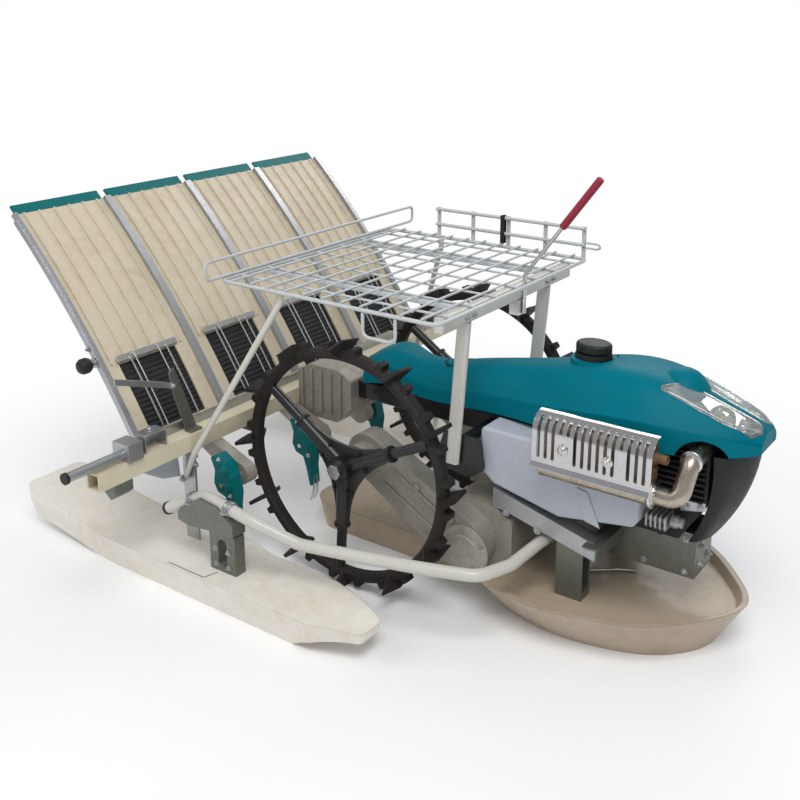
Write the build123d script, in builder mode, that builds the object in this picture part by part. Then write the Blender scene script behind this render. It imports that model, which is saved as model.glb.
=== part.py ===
"""Walk-behind four-row rice transplanter, modelled in millimetres.

X points forward, Y to the machine's left and Z up. The origin is on the ground,
under the middle of the machine's length and width. Stations along X are given
from the wheel axle, which stands AXLE_X ahead of the origin.
"""
import os
from math import atan2, cos, radians, sin, sqrt

from build123d import *

os.makedirs("parts", exist_ok=True)

# Driving dimensions
AXLE_X = 131.0
ROW_PITCH = 300.0
ROW_COUNT = 4
WHEEL_TIP_R = 330.0
WHEEL_Y = 312.0
SLIDE_GAP = 0.3
SHEET = 4.0

ROW_YS = [(i - (ROW_COUNT - 1) / 2) * ROW_PITCH for i in range(ROW_COUNT)]
SIDES = (("right", -1), ("left", 1))


def side(y):
    """Upright plane along the machine at width y: x forward from the axle, y up."""
    return Plane(origin=(AXLE_X, y, 0), x_dir=(1, 0, 0), z_dir=(0, -1, 0))


def across(x):
    """Upright plane across the machine at station x: x to the left, y up."""
    return Plane(origin=(AXLE_X + x, 0, 0), x_dir=(0, 1, 0), z_dir=(1, 0, 0))


def level(z):
    """Level plane at height z: x forward from the axle, y to the left."""
    return Plane(origin=(AXLE_X, 0, z), x_dir=(1, 0, 0), z_dir=(0, 0, 1))


def at(x, y, z):
    """A point given from the axle station."""
    return (AXLE_X + x, y, z)


def bar(points, radius, bend, mode=Mode.ADD):
    """Sweep a round bar through the points, with its corners bent."""
    with BuildLine() as route:
        if bend:
            FilletPolyline(*points, radius=bend)
        else:
            Polyline(*points)
    path = route.line
    with BuildSketch(Plane(origin=path @ 0, z_dir=path % 0)) as section:
        Circle(radius)
    sweep(sections=section.sketch, path=path, mode=mode)


def pipe(points, radius, wall, bend):
    """Sweep a round pipe, open at both ends, through the points."""
    with BuildLine() as route:
        FilletPolyline(*points, radius=bend)
    path = route.line
    with BuildSketch(Plane(origin=path @ 0, z_dir=path % 0)) as section:
        Circle(radius)
        Circle(radius - wall, mode=Mode.SUBTRACT)
    sweep(sections=section.sketch, path=path)


def arm_plane(y, angle, centre_z):
    """Plane across the wheel's rim at an angle: x to the left, y away from the axle."""
    a = radians(angle)
    return Plane(
        origin=(AXLE_X, y, centre_z),
        x_dir=(0, 1, 0),
        z_dir=(sin(a), 0, -cos(a)),
    )


# Wheels: a ring with side paddles and rim blocks, three tubular spokes and gussets
RING_R = 294.0
RING_W = 34.0
RING_T = 26.0
RING_BEVEL = 7.0
PADDLE_COUNT = 12
PADDLE_HALF_W = 60.0
PADDLE_T = 10.0
PADDLE_WING_R = 320.0
BLOCK_COUNT = 24
BLOCK_TIP_R = 321.0
BLOCK_LENGTH = 26.0
BLOCK_W = 28.0
SPOKE_COUNT = 3
SPOKE_START = 26.0
SPOKE_R = 13.0
SLEEVE_R = 18.0
SLEEVE_END = 158.0
GUSSET_REACH = 132.0
GUSSET_WAIST = 58.0
GUSSET_HALF_TIP = 20.0
GUSSET_T = 8.0
HUB_R = 31.0
HUB_IN = 270.0
HUB_OUT = 344.0
AXLE_R = 15.0
AXLE_IN = 182.0
NUT_AF_R = 20.0
NUT_T = 14.0
WHEEL_Z = WHEEL_TIP_R


def wheel_ring(y):
    """Draw the ring, its paddles and its rim blocks into the part being built."""
    with BuildSketch(across(0)) as section:
        with Locations((y, WHEEL_Z + RING_R)):
            Rectangle(RING_W, RING_T)
        chamfer(section.vertices(), RING_BEVEL)
    revolve(section.sketch, axis=Axis((AXLE_X, 0, WHEEL_Z), (0, 1, 0)))
    block_depth = BLOCK_TIP_R - RING_R
    with BuildSketch(side(y)) as blocks:
        with Locations((0, WHEEL_Z)):
            with PolarLocations(RING_R + block_depth / 2, BLOCK_COUNT, 180 / BLOCK_COUNT):
                Trapezoid(BLOCK_LENGTH, block_depth, 78, rotation=-90)
    extrude(blocks.sketch, amount=BLOCK_W / 2, both=True)
    stations = [270 + i * 360 / PADDLE_COUNT for i in range(PADDLE_COUNT)]
    with BuildSketch(*[arm_plane(y, angle, WHEEL_Z) for angle in stations]) as paddles:
        with BuildLine():
            Polyline(
                (0, WHEEL_TIP_R),
                (PADDLE_HALF_W, PADDLE_WING_R),
                (RING_W / 2, RING_R - RING_T / 2 + RING_BEVEL),
                (-RING_W / 2, RING_R - RING_T / 2 + RING_BEVEL),
                (-PADDLE_HALF_W, PADDLE_WING_R),
                close=True,
            )
        make_face()
    extrude(paddles.sketch, amount=PADDLE_T / 2, both=True)


def spoke_point(angle, reach, offset=0.0):
    """A point in the wheel's plane, out along a spoke and off to its side."""
    a = radians(angle)
    return (
        reach * cos(a) - offset * sin(a),
        WHEEL_Z + reach * sin(a) + offset * cos(a),
    )


def wheel_spokes(y, sign):
    """Draw the hub, gusset plate, sleeves and spokes into the part being built."""
    step = 360 / SPOKE_COUNT
    angles = [SPOKE_START + i * step for i in range(SPOKE_COUNT)]
    with BuildSketch(side(y)) as plate:
        with BuildLine():
            for a in angles:
                Line(
                    spoke_point(a, GUSSET_REACH, -GUSSET_HALF_TIP),
                    spoke_point(a, GUSSET_REACH, GUSSET_HALF_TIP),
                )
                ThreePointArc(
                    spoke_point(a, GUSSET_REACH, GUSSET_HALF_TIP),
                    spoke_point(a + step / 2, GUSSET_WAIST),
                    spoke_point(a + step, GUSSET_REACH, -GUSSET_HALF_TIP),
                )
        make_face()
    extrude(plate.sketch, amount=GUSSET_T / 2, both=True)
    for a in angles:
        spoke = Plane(origin=(AXLE_X, y, WHEEL_Z), z_dir=(cos(radians(a)), 0, sin(radians(a))))
        with BuildSketch(spoke) as tube:
            Circle(SPOKE_R)
        extrude(tube.sketch, amount=RING_R - RING_T / 2 - SLIDE_GAP)
        with BuildSketch(spoke) as sleeve:
            Circle(SLEEVE_R)
        extrude(sleeve.sketch, amount=SLEEVE_END)
    with BuildSketch(side(sign * HUB_OUT)) as hub:
        with Locations((0, WHEEL_Z)):
            Circle(HUB_R)
    extrude(hub.sketch, amount=sign * (HUB_OUT - HUB_IN))
    with BuildSketch(side(sign * HUB_OUT)) as bore:
        with Locations((0, WHEEL_Z)):
            Circle(AXLE_R + SLIDE_GAP)
    extrude(bore.sketch, amount=sign * (HUB_OUT - HUB_IN), mode=Mode.SUBTRACT)


def wheel_axle(sign):
    """Draw the axle stub and its nut into the part being built."""
    nut_face = HUB_OUT + SLIDE_GAP
    with BuildSketch(side(sign * AXLE_IN)) as shaft:
        with Locations((0, WHEEL_Z)):
            Circle(AXLE_R)
    extrude(shaft.sketch, amount=-sign * (nut_face - AXLE_IN))
    with BuildSketch(side(sign * nut_face)) as nut:
        with Locations((0, WHEEL_Z)):
            RegularPolygon(NUT_AF_R, 6)
    extrude(nut.sketch, amount=-sign * NUT_T)


for name, sign in SIDES:
    with BuildPart() as ring:
        wheel_ring(sign * WHEEL_Y)
    ring.part.label = f"wheel_ring_{name}"
    export_step(ring.part, f"parts/wheel_ring_{name}.step")

    with BuildPart() as spokes:
        wheel_spokes(sign * WHEEL_Y, sign)
    spokes.part.label = f"wheel_spokes_{name}"
    export_step(spokes.part, f"parts/wheel_spokes_{name}.step")

    with BuildPart() as axle:
        wheel_axle(sign)
    axle.part.label = f"wheel_axle_{name}"
    export_step(axle.part, f"parts/wheel_axle_{name}.step")

# Swing cases, which carry the axles and pivot on the transmission
CASE_PIVOT = (285.0, 168.0)
CASE_PIVOT_R = 74.0
CASE_AXLE_R = 56.0
CASE_IN = 170.0
CASE_OUT = 228.0
BOSS_R = 36.0
BOSS_OUT = 264.0
DRIVE_X = 305.0
DRIVE_Z = 158.0
DRIVE_R = 31.0
DRIVE_BORE = 21.0
DRIVE_OUT = 240.0

with BuildPart() as swing_cases:
    for name, sign in SIDES:
        with BuildSketch(side(sign * CASE_OUT)) as outline:
            with Locations((0, WHEEL_Z)):
                Circle(CASE_AXLE_R)
            with Locations(CASE_PIVOT):
                Circle(CASE_PIVOT_R)
            make_hull()
        extrude(outline.sketch, amount=sign * (CASE_OUT - CASE_IN))
        with BuildSketch(side(sign * BOSS_OUT)) as boss:
            with Locations((0, WHEEL_Z)):
                Circle(BOSS_R)
        extrude(boss.sketch, amount=sign * (BOSS_OUT - CASE_OUT + 1))
        with BuildSketch(side(sign * DRIVE_OUT)) as housing:
            with Locations((DRIVE_X, DRIVE_Z)):
                Circle(DRIVE_R)
        extrude(housing.sketch, amount=sign * (DRIVE_OUT - CASE_OUT + 1))
        with BuildSketch(side(sign * DRIVE_OUT)) as bore:
            with Locations((DRIVE_X, DRIVE_Z)):
                Circle(DRIVE_BORE)
        extrude(bore.sketch, amount=sign * (DRIVE_OUT - CASE_OUT), mode=Mode.SUBTRACT)
        with BuildSketch(side(sign * BOSS_OUT)) as seat:
            with Locations((0, WHEEL_Z)):
                Circle(AXLE_R + SLIDE_GAP)
        extrude(seat.sketch, amount=sign * (BOSS_OUT - AXLE_IN + SLIDE_GAP), mode=Mode.SUBTRACT)
swing_cases.part.label = "swing_cases"
export_step(swing_cases.part, "parts/swing_cases.step")

# Spine: the long box tube under the hood
SPINE_REAR = -169.0
SPINE_FRONT = 519.0
SPINE_HALF_W = 38.0
SPINE_TOP = 440.0
SPINE_BOTTOM = 386.0

with BuildPart() as main_frame:
    with BuildSketch(across(SPINE_REAR)) as tube:
        with Locations((0, (SPINE_TOP + SPINE_BOTTOM) / 2)):
            RectangleRounded(2 * SPINE_HALF_W, SPINE_TOP - SPINE_BOTTOM, 6)
            Rectangle(
                2 * (SPINE_HALF_W - SHEET),
                SPINE_TOP - SPINE_BOTTOM - 2 * SHEET,
                mode=Mode.SUBTRACT,
            )
    extrude(tube.sketch, amount=SPINE_FRONT - SPINE_REAR)
main_frame.part.label = "main_frame"
export_step(main_frame.part, "parts/main_frame.step")

# Transmission: the lower casting between the swing cases, with its neck up to the spine
GEAR_REAR = 205.0
GEAR_FRONT = 400.0
GEAR_BOTTOM = 94.0
GEAR_TOP = 262.0
GEAR_HALF_W = CASE_IN
NECK_REAR = 232.0
NECK_FRONT = 372.0
NECK_HALF_W = 62.0

with BuildPart() as transmission_case:
    with BuildSketch(side(-GEAR_HALF_W)) as outline:
        with BuildLine():
            FilletPolyline(
                (GEAR_REAR, GEAR_BOTTOM + 34),
                (GEAR_REAR + 46, GEAR_BOTTOM),
                (GEAR_FRONT - 30, GEAR_BOTTOM),
                (GEAR_FRONT, GEAR_BOTTOM + 40),
                (GEAR_FRONT, GEAR_TOP - 30),
                (GEAR_FRONT - 46, GEAR_TOP),
                (GEAR_REAR + 30, GEAR_TOP),
                (GEAR_REAR, GEAR_TOP - 46),
                radius=16,
                close=True,
            )
        make_face()
    extrude(outline.sketch, amount=-2 * GEAR_HALF_W)
    with BuildSketch(side(-NECK_HALF_W)) as neck:
        with BuildLine():
            Polyline(
                (NECK_REAR - 20, GEAR_TOP - 10),
                (NECK_FRONT + 20, GEAR_TOP - 10),
                (NECK_FRONT, SPINE_BOTTOM),
                (NECK_REAR, SPINE_BOTTOM),
                close=True,
            )
        make_face()
    extrude(neck.sketch, amount=-2 * NECK_HALF_W)
transmission_case.part.label = "transmission_case"
export_step(transmission_case.part, "parts/transmission_case.step")

# Engine bed: a folded channel that runs forward from the transmission
BED_REAR = GEAR_FRONT
BED_FRONT = 814.0
BED_HALF_W = 52.0
BED_TOP = 280.0
BED_BOTTOM = 166.0
BED_WALL = 6.0

with BuildPart() as engine_bed:
    with BuildSketch(across(BED_REAR)) as channel:
        with Locations((0, (BED_TOP + BED_BOTTOM) / 2)):
            Rectangle(2 * BED_HALF_W, BED_TOP - BED_BOTTOM)
        with Locations((0, (BED_TOP + BED_BOTTOM) / 2 - BED_WALL)):
            Rectangle(2 * (BED_HALF_W - BED_WALL), BED_TOP - BED_BOTTOM, mode=Mode.SUBTRACT)
    extrude(channel.sketch, amount=BED_FRONT - BED_REAR)
    with BuildSketch(across(BED_FRONT - BED_WALL)) as end_plate:
        with Locations((0, (BED_TOP + BED_BOTTOM) / 2)):
            Rectangle(2 * BED_HALF_W, BED_TOP - BED_BOTTOM)
    extrude(end_plate.sketch, amount=BED_WALL)
engine_bed.part.label = "engine_bed"
export_step(engine_bed.part, "parts/engine_bed.step")

# Engine: one plain block at its real place and size
ENGINE_REAR = 520.0
ENGINE_LOW_FRONT = BED_FRONT - 29.0
ENGINE_FRONT = 843.0
ENGINE_NOSE_Z = 380.0
ENGINE_HALF_W = 92.0
ENGINE_TOP = 540.0

with BuildPart() as engine_block:
    with BuildSketch(side(-ENGINE_HALF_W)) as outline:
        with BuildLine():
            Polyline(
                (ENGINE_REAR, BED_TOP),
                (ENGINE_LOW_FRONT, BED_TOP),
                (ENGINE_FRONT, ENGINE_NOSE_Z),
                (ENGINE_FRONT, ENGINE_TOP),
                (ENGINE_REAR, ENGINE_TOP),
                close=True,
            )
        make_face()
    extrude(outline.sketch, amount=-2 * ENGINE_HALF_W)
engine_block.part.label = "engine_block"
export_step(engine_block.part, "parts/engine_block.step")

# Hood stations: distance ahead of the axle, half width, lower edge and crown height
HOOD_STATIONS = (
    (-138.0, 56.0, SPINE_TOP, 512.0),
    (60.0, 68.0, 449.0, 536.0),
    (257.0, 84.0, 462.0, 574.0),
    (415.0, 116.0, 476.0, 604.0),
    (560.0, 148.0, 486.0, 638.0),
    (690.0, 156.0, 496.0, 640.0),
    (800.0, 138.0, 503.0, 606.0),
    (880.0, 106.0, 507.0, 578.0),
    (938.0, 52.0, 510.0, 548.0),
)
HOOD_WALL = 5.0
ARCH_X = 833.0
ARCH_Z = 486.0
ARCH_R = 56.0
ARCH_DEPTH = 100.0
CAP_X = 513.0
CAP_SEAT_Z = 632.0
CAP_SEAT_R = 54.0
CAP_SEAT_LOW = 560.0
LAMP_OUTLINE = (
    (707.0, 90.0), (764.0, 14.0), (923.0, 9.0), (934.0, 34.0), (917.0, 60.0), (860.0, 77.0),
    (800.0, 85.0),
)


def hood_section(half_w, low, high):
    """One upright section of the hood: flat sides, a broad crown and round shoulders."""
    height = high - low
    with BuildLine() as outline:
        Line((-half_w, low), (half_w, low))
        Spline(
            (half_w, low),
            (half_w * 0.97, low + height * 0.45),
            (half_w * 0.62, low + height * 0.88),
            (0, high),
            (-half_w * 0.62, low + height * 0.88),
            (-half_w * 0.97, low + height * 0.45),
            (-half_w, low),
            tangents=[(0, 1), (0, -1)],
        )
    make_face(outline.edges())


with BuildPart() as hood_core:
    for x, half_w, low, high in HOOD_STATIONS[:-1]:
        with BuildSketch(across(x + HOOD_WALL)):
            hood_section(half_w - HOOD_WALL, low - 1, high - HOOD_WALL)
    loft()

with BuildPart() as hood_shell:
    for x, half_w, low, high in HOOD_STATIONS:
        with BuildSketch(across(x)):
            hood_section(half_w, low, high)
    loft()
    with BuildSketch(level(CAP_SEAT_LOW)) as cap_seat:
        with Locations((CAP_X, 0)):
            Circle(CAP_SEAT_R)
    extrude(cap_seat.sketch, amount=CAP_SEAT_Z - CAP_SEAT_LOW)
    add(hood_core.part, mode=Mode.SUBTRACT)
    with BuildSketch(level(CAP_SEAT_Z)) as cap_well:
        with Locations((CAP_X, 0)):
            Circle(CAP_SEAT_R + 5)
    extrude(cap_well.sketch, amount=60, mode=Mode.SUBTRACT)

with BuildPart() as lamp_prisms:
    for name, sign in SIDES:
        with BuildSketch(level(SPINE_TOP)) as lens:
            with BuildLine():
                FilletPolyline(*[(x, sign * y) for x, y in LAMP_OUTLINE], radius=8, close=True)
            make_face()
        extrude(lens.sketch, amount=240)

with BuildPart() as hood:
    add(hood_shell.part)
    add(lamp_prisms.part, mode=Mode.SUBTRACT)
    with BuildSketch(side(-ARCH_DEPTH)) as arch:
        with Locations((ARCH_X, ARCH_Z)):
            Circle(ARCH_R)
    extrude(arch.sketch, amount=ARCH_DEPTH, mode=Mode.SUBTRACT)
hood.part.label = "hood"
export_step(hood.part, "parts/hood.step")

with BuildPart() as headlamps:
    add(hood_shell.part)
    add(lamp_prisms.part, mode=Mode.INTERSECT)
headlamps.part.label = "headlamps"
export_step(headlamps.part, "parts/headlamps.step")

# Nose grille: the black cover under the hood's nose, open to the rear
NOSE_LOW_BEHIND = 14.0
NOSE_LOW_AHEAD = 23.0
NOSE_LOW_BESIDE = 18.0
NOSE_STATIONS = (
    (268.0, BED_FRONT - NOSE_LOW_BEHIND, BED_FRONT + NOSE_LOW_AHEAD, BED_HALF_W + NOSE_LOW_BESIDE),
    (425.0, 853.0, 913.0, 98.0),
    (502.0, 853.0, 926.0, 104.0),
)
NOSE_WALL = 5.0
NOSE_WEB_Z = 455.0
NOSE_WEB_W = 60.0
NOSE_WEB_H = 24.0
NOSE_WEB_L = 70.0


def nose_section(rear, front, half_w):
    """One level section of the nose cover: straight across the rear, round in front."""
    with BuildLine() as outline:
        Line((rear, half_w), (rear, -half_w))
        Spline(
            (rear, -half_w),
            (rear + (front - rear) * 0.72, -half_w * 0.62),
            (front, 0),
            (rear + (front - rear) * 0.72, half_w * 0.62),
            (rear, half_w),
            tangents=[(1, 0.1), (-1, 0.1)],
        )
    make_face(outline.edges())


with BuildPart() as nose_core:
    for z, rear, front, half_w in NOSE_STATIONS:
        with BuildSketch(level(z)):
            nose_section(rear - 2, front - NOSE_WALL, half_w - NOSE_WALL)
    loft()

with BuildPart() as nose_grille:
    for z, rear, front, half_w in NOSE_STATIONS:
        with BuildSketch(level(z)):
            nose_section(rear, front, half_w)
    loft()
    add(nose_core.part, mode=Mode.SUBTRACT)
    with BuildSketch(across(ENGINE_FRONT)) as web:
        with Locations((0, NOSE_WEB_Z)):
            Rectangle(NOSE_WEB_W, NOSE_WEB_H)
    extrude(web.sketch, amount=NOSE_WEB_L)
nose_grille.part.label = "nose_grille"
export_step(nose_grille.part, "parts/nose_grille.step")

# Fuel cap: an oval collar with a domed oval cap above it
CAP_LONG_R = 48.0
CAP_SHORT_R = 38.0
COLLAR_H = 13.0
NECK_H = 5.0
LID_H = 20.0

with BuildPart() as fuel_cap:
    with BuildSketch(level(CAP_SEAT_Z)) as collar:
        with Locations((CAP_X, 0)):
            Ellipse(CAP_LONG_R - 2, CAP_SHORT_R + 2)
    extrude(collar.sketch, amount=COLLAR_H, taper=8)
    with BuildSketch(level(CAP_SEAT_Z + COLLAR_H)) as neck:
        with Locations((CAP_X, 0)):
            Ellipse(CAP_LONG_R - 12, CAP_SHORT_R - 10)
    extrude(neck.sketch, amount=NECK_H)
    with BuildSketch(level(CAP_SEAT_Z + COLLAR_H + NECK_H)) as lid:
        with Locations((CAP_X, 0)):
            Ellipse(CAP_LONG_R - 4, CAP_SHORT_R - 2)
    extrude(lid.sketch, amount=LID_H)
    fillet(fuel_cap.edges().group_by(Axis.Z)[-1], 8)
fuel_cap.part.label = "fuel_cap"
export_step(fuel_cap.part, "parts/fuel_cap.step")

# Side cover: the light grey moulded cover on the right, below the muffler
COVER_OUT = 168.0
COVER_REAR = 304.0
COVER_FRONT = 716.0
COVER_STEP_X = 480.0
COVER_HIGH = 462.0
COVER_STEP_Z = 398.0
COVER_LOW = GEAR_TOP + 22
COVER_KNEE = 520.0
COVER_INNER = ENGINE_HALF_W

with BuildPart() as side_cover:
    with BuildSketch(side(-COVER_INNER)) as outline:
        with BuildLine():
            FilletPolyline(
                (COVER_REAR, COVER_HIGH),
                (COVER_REAR, 350),
                (COVER_REAR + 40, 320),
                (COVER_KNEE, COVER_LOW),
                (COVER_FRONT - 12, COVER_LOW + 30),
                (COVER_FRONT, COVER_LOW + 48),
                (COVER_FRONT, COVER_STEP_Z),
                (COVER_STEP_X, COVER_STEP_Z),
                (COVER_STEP_X, COVER_HIGH),
                radius=14,
                close=True,
            )
        make_face()
    extrude(outline.sketch, amount=COVER_OUT - COVER_INNER)
    fillet(side_cover.faces().sort_by(Axis.Y)[0].edges(), 9)
side_cover.part.label = "side_cover"
export_step(side_cover.part, "parts/side_cover.step")

# Recoil starter: the round housing on the engine's left
STARTER_X = 655.0
STARTER_Z = 392.0
STARTER_R = 88.0
STARTER_T = 58.0

with BuildPart() as recoil_starter:
    with BuildSketch(side(ENGINE_HALF_W)) as drum:
        with Locations((STARTER_X, STARTER_Z)):
            Circle(STARTER_R)
    extrude(drum.sketch, amount=-STARTER_T)
    fillet(recoil_starter.faces().sort_by(Axis.Y)[-1].edges(), 14)
recoil_starter.part.label = "recoil_starter"
export_step(recoil_starter.part, "parts/recoil_starter.step")

# Muffler: body, slotted heat shield and the elbow from the exhaust port
MUFFLER_REAR = 492.0
MUFFLER_FRONT = 754.0
MUFFLER_IN = 172.0
MUFFLER_OUT = 226.0
MUFFLER_LOW = 402.0
MUFFLER_HIGH = 545.0
STUD_XS = (560.0, 694.0)
STUD_Z = 500.0
STUD_R = 8.0
SHIELD_REAR = 482.0
SHIELD_FRONT = 768.0
SHIELD_OUT = 238.0
SHIELD_T = 2.0
SHIELD_LOW = 448.0
SHIELD_HIGH = 562.0
SHIELD_ROUND = 44.0
SLOT_COUNT = 15
SLOT_PITCH = 18.0
SLOT_W = 8.0
SLOT_H = 96.0
SLOT_Z = 508.0
SLOT_REACH = 30.0
SHORT_SLOT_H = 30.0
SHORT_SLOT_Z = 541.0
TAB_Z = 440.0

with BuildPart() as muffler_body:
    with BuildSketch(across(MUFFLER_REAR)) as section:
        with Locations((-(MUFFLER_IN + MUFFLER_OUT) / 2, (MUFFLER_LOW + MUFFLER_HIGH) / 2)):
            RectangleRounded(MUFFLER_OUT - MUFFLER_IN, MUFFLER_HIGH - MUFFLER_LOW, 24)
    extrude(section.sketch, amount=MUFFLER_FRONT - MUFFLER_REAR)
    with BuildSketch(side(-MUFFLER_OUT + 1)) as studs:
        with Locations(*[(x, STUD_Z) for x in STUD_XS]):
            Circle(STUD_R)
    extrude(studs.sketch, amount=SHIELD_OUT - SHIELD_T - MUFFLER_OUT + 1)
    with BuildSketch(side(-ENGINE_HALF_W)) as tab:
        with Locations(((STUD_XS[0] + STUD_XS[1]) / 2, TAB_Z)):
            Rectangle(60, 18)
    extrude(tab.sketch, amount=MUFFLER_IN - ENGINE_HALF_W + 1)
muffler_body.part.label = "muffler_body"
export_step(muffler_body.part, "parts/muffler_body.step")

with BuildPart() as muffler_shield:
    with BuildSketch(across(SHIELD_REAR)) as section:
        with BuildLine():
            inner = SHIELD_OUT - SHIELD_T
            Line((-SHIELD_OUT - 9, SHIELD_LOW - 9), (-SHIELD_OUT, SHIELD_LOW))
            Line((-SHIELD_OUT, SHIELD_LOW), (-SHIELD_OUT, SHIELD_HIGH - SHIELD_ROUND))
            RadiusArc(
                (-SHIELD_OUT, SHIELD_HIGH - SHIELD_ROUND),
                (-SHIELD_OUT + SHIELD_ROUND, SHIELD_HIGH),
                SHIELD_ROUND,
            )
            Line(
                (-SHIELD_OUT + SHIELD_ROUND, SHIELD_HIGH),
                (-SHIELD_OUT + SHIELD_ROUND, SHIELD_HIGH - SHIELD_T),
            )
            RadiusArc(
                (-SHIELD_OUT + SHIELD_ROUND, SHIELD_HIGH - SHIELD_T),
                (-inner, SHIELD_HIGH - SHIELD_ROUND),
                -(SHIELD_ROUND - SHIELD_T),
            )
            Line((-inner, SHIELD_HIGH - SHIELD_ROUND), (-inner, SHIELD_LOW))
            Line((-inner, SHIELD_LOW), (-SHIELD_OUT - 9, SHIELD_LOW - 9 - SHIELD_T))
            Line((-SHIELD_OUT - 9, SHIELD_LOW - 9 - SHIELD_T), (-SHIELD_OUT - 9, SHIELD_LOW - 9))
        make_face()
    extrude(section.sketch, amount=SHIELD_FRONT - SHIELD_REAR)
    middle = (SHIELD_REAR + SHIELD_FRONT) / 2
    first = middle - (SLOT_COUNT - 1) / 2 * SLOT_PITCH
    slot_xs = [first + i * SLOT_PITCH for i in range(SLOT_COUNT)]
    open_xs = [x for x in slot_xs if min(abs(x - stud) for stud in STUD_XS) > SLOT_PITCH * 0.75]
    short_xs = [x for x in slot_xs if x not in open_xs]
    with BuildSketch(side(-SHIELD_OUT + SLOT_REACH)) as slots:
        with Locations(*[(x, SLOT_Z) for x in open_xs]):
            SlotOverall(SLOT_H, SLOT_W, rotation=90)
        with Locations(*[(x, SHORT_SLOT_Z) for x in short_xs]):
            SlotOverall(SHORT_SLOT_H, SLOT_W, rotation=90)
    extrude(slots.sketch, amount=SLOT_REACH + 10, mode=Mode.SUBTRACT)
muffler_shield.part.label = "muffler_shield"
export_step(muffler_shield.part, "parts/muffler_shield.step")

ELBOW_R = 21.0
ELBOW_WALL = 2.5
ELBOW_Z = 428.0
ELBOW_Y = -(MUFFLER_IN + MUFFLER_OUT) / 2
PORT_X = 826.0
PORT_Z = 506.0

with BuildPart() as exhaust_elbow:
    pipe(
        [
            at(MUFFLER_FRONT, ELBOW_Y, ELBOW_Z),
            at(PORT_X - 8, ELBOW_Y, ELBOW_Z),
            at(PORT_X, ELBOW_Y + 34, PORT_Z),
            at(PORT_X, -ENGINE_HALF_W, PORT_Z),
        ],
        ELBOW_R,
        ELBOW_WALL,
        26,
    )
exhaust_elbow.part.label = "exhaust_elbow"
export_step(exhaust_elbow.part, "parts/exhaust_elbow.step")

# Front stays: sloped box bars from the transmission's top forward over the centre float
STAY_IN = 128.0
STAY_OUT = 172.0
STAY_REAR = 346.0
STAY_KNEE = 380.0
STAY_FRONT = 622.0
STAY_DROP = 0.248
STAY_H = 44.0
PAN_FLOOR = 88.0
FOOT_X = 556.0
FOOT_HALF_L = 34.0
FOOT_WALL = 5.0


def stay_bottom(x):
    """Height of the sloped stay's underside at a station."""
    return GEAR_TOP - STAY_DROP * (x - STAY_KNEE)


with BuildPart() as front_stays:
    for name, sign in SIDES:
        with BuildSketch(side(sign * STAY_IN)) as outline:
            with BuildLine():
                Polyline(
                    (STAY_REAR, GEAR_TOP),
                    (STAY_REAR, stay_bottom(STAY_REAR) + STAY_H),
                    (STAY_FRONT, stay_bottom(STAY_FRONT) + STAY_H),
                    (STAY_FRONT, stay_bottom(STAY_FRONT)),
                    (STAY_KNEE, GEAR_TOP),
                    close=True,
                )
            make_face()
        extrude(outline.sketch, amount=-sign * (STAY_OUT - STAY_IN))
front_stays.part.label = "front_stays"
export_step(front_stays.part, "parts/front_stays.step")

# Centre float: a wide flared pan in front and a narrow tail below the transmission
PAN_RIM = 112.0
PAN_WALL = 14.0
PAN_MIDDLE = 600.0
PAN_RIM_POINTS = (
    (292.0, 0.0), (300.0, 130.0), (345.0, 250.0), (431.0, 276.0), (519.0, 288.0),
    (640.0, 268.0), (759.0, 222.0), (860.0, 123.0), (925.0, 0.0),
)
PAN_BASE_POINTS = (
    (330.0, 0.0), (336.0, 80.0), (372.0, 158.0), (440.0, 188.0), (520.0, 202.0),
    (629.0, 194.0), (741.0, 160.0), (809.0, 110.0), (860.0, 0.0),
)
TAIL_TOP = 84.0
TAIL_HALF_W = 124.0
TAIL_REAR = -285.0
TAIL_FRONT = 345.0
NOTCH_FRONT = 412.0
NOTCH_HALF_W = 238.0


def pan_loop(z, inset):
    """The pan's plan outline at a height, drawn in by the inset."""
    share = 1 - z / PAN_RIM
    right = []
    for (rim_x, rim_y), (base_x, base_y) in zip(PAN_RIM_POINTS, PAN_BASE_POINTS):
        x = rim_x + (base_x - rim_x) * share
        y = rim_y + (base_y - rim_y) * share
        reach = sqrt((x - PAN_MIDDLE) ** 2 + y**2)
        scale = 1 - inset / reach
        right.append((PAN_MIDDLE + (x - PAN_MIDDLE) * scale, -y * scale))
    left = [(x, -y) for x, y in reversed(right[1:-1])]
    with BuildLine() as outline:
        Spline(*right, *left, periodic=True)
    make_face(outline.edges())


with BuildPart() as pan_well:
    for z in (PAN_FLOOR, PAN_RIM):
        with BuildSketch(level(z)):
            pan_loop(z, PAN_WALL)
    loft()

with BuildPart() as centre_float:
    for z in (0, PAN_RIM):
        with BuildSketch(level(z)):
            pan_loop(z, 0)
    loft()
    add(pan_well.part, mode=Mode.SUBTRACT)
    with BuildSketch(level(TAIL_TOP)) as tail:
        with Locations(((TAIL_REAR + TAIL_FRONT) / 2, 0)):
            RectangleRounded(TAIL_FRONT - TAIL_REAR, 2 * TAIL_HALF_W, 70)
    extrude(tail.sketch, amount=-TAIL_TOP, taper=12)
    with BuildSketch(level(TAIL_TOP + 3)) as notch:
        with Locations(((TAIL_REAR + NOTCH_FRONT) / 2, 0)):
            Rectangle(NOTCH_FRONT - TAIL_REAR, 2 * NOTCH_HALF_W)
    extrude(notch.sketch, amount=60, mode=Mode.SUBTRACT)
centre_float.part.label = "centre_float"
export_step(centre_float.part, "parts/centre_float.step")

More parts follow.
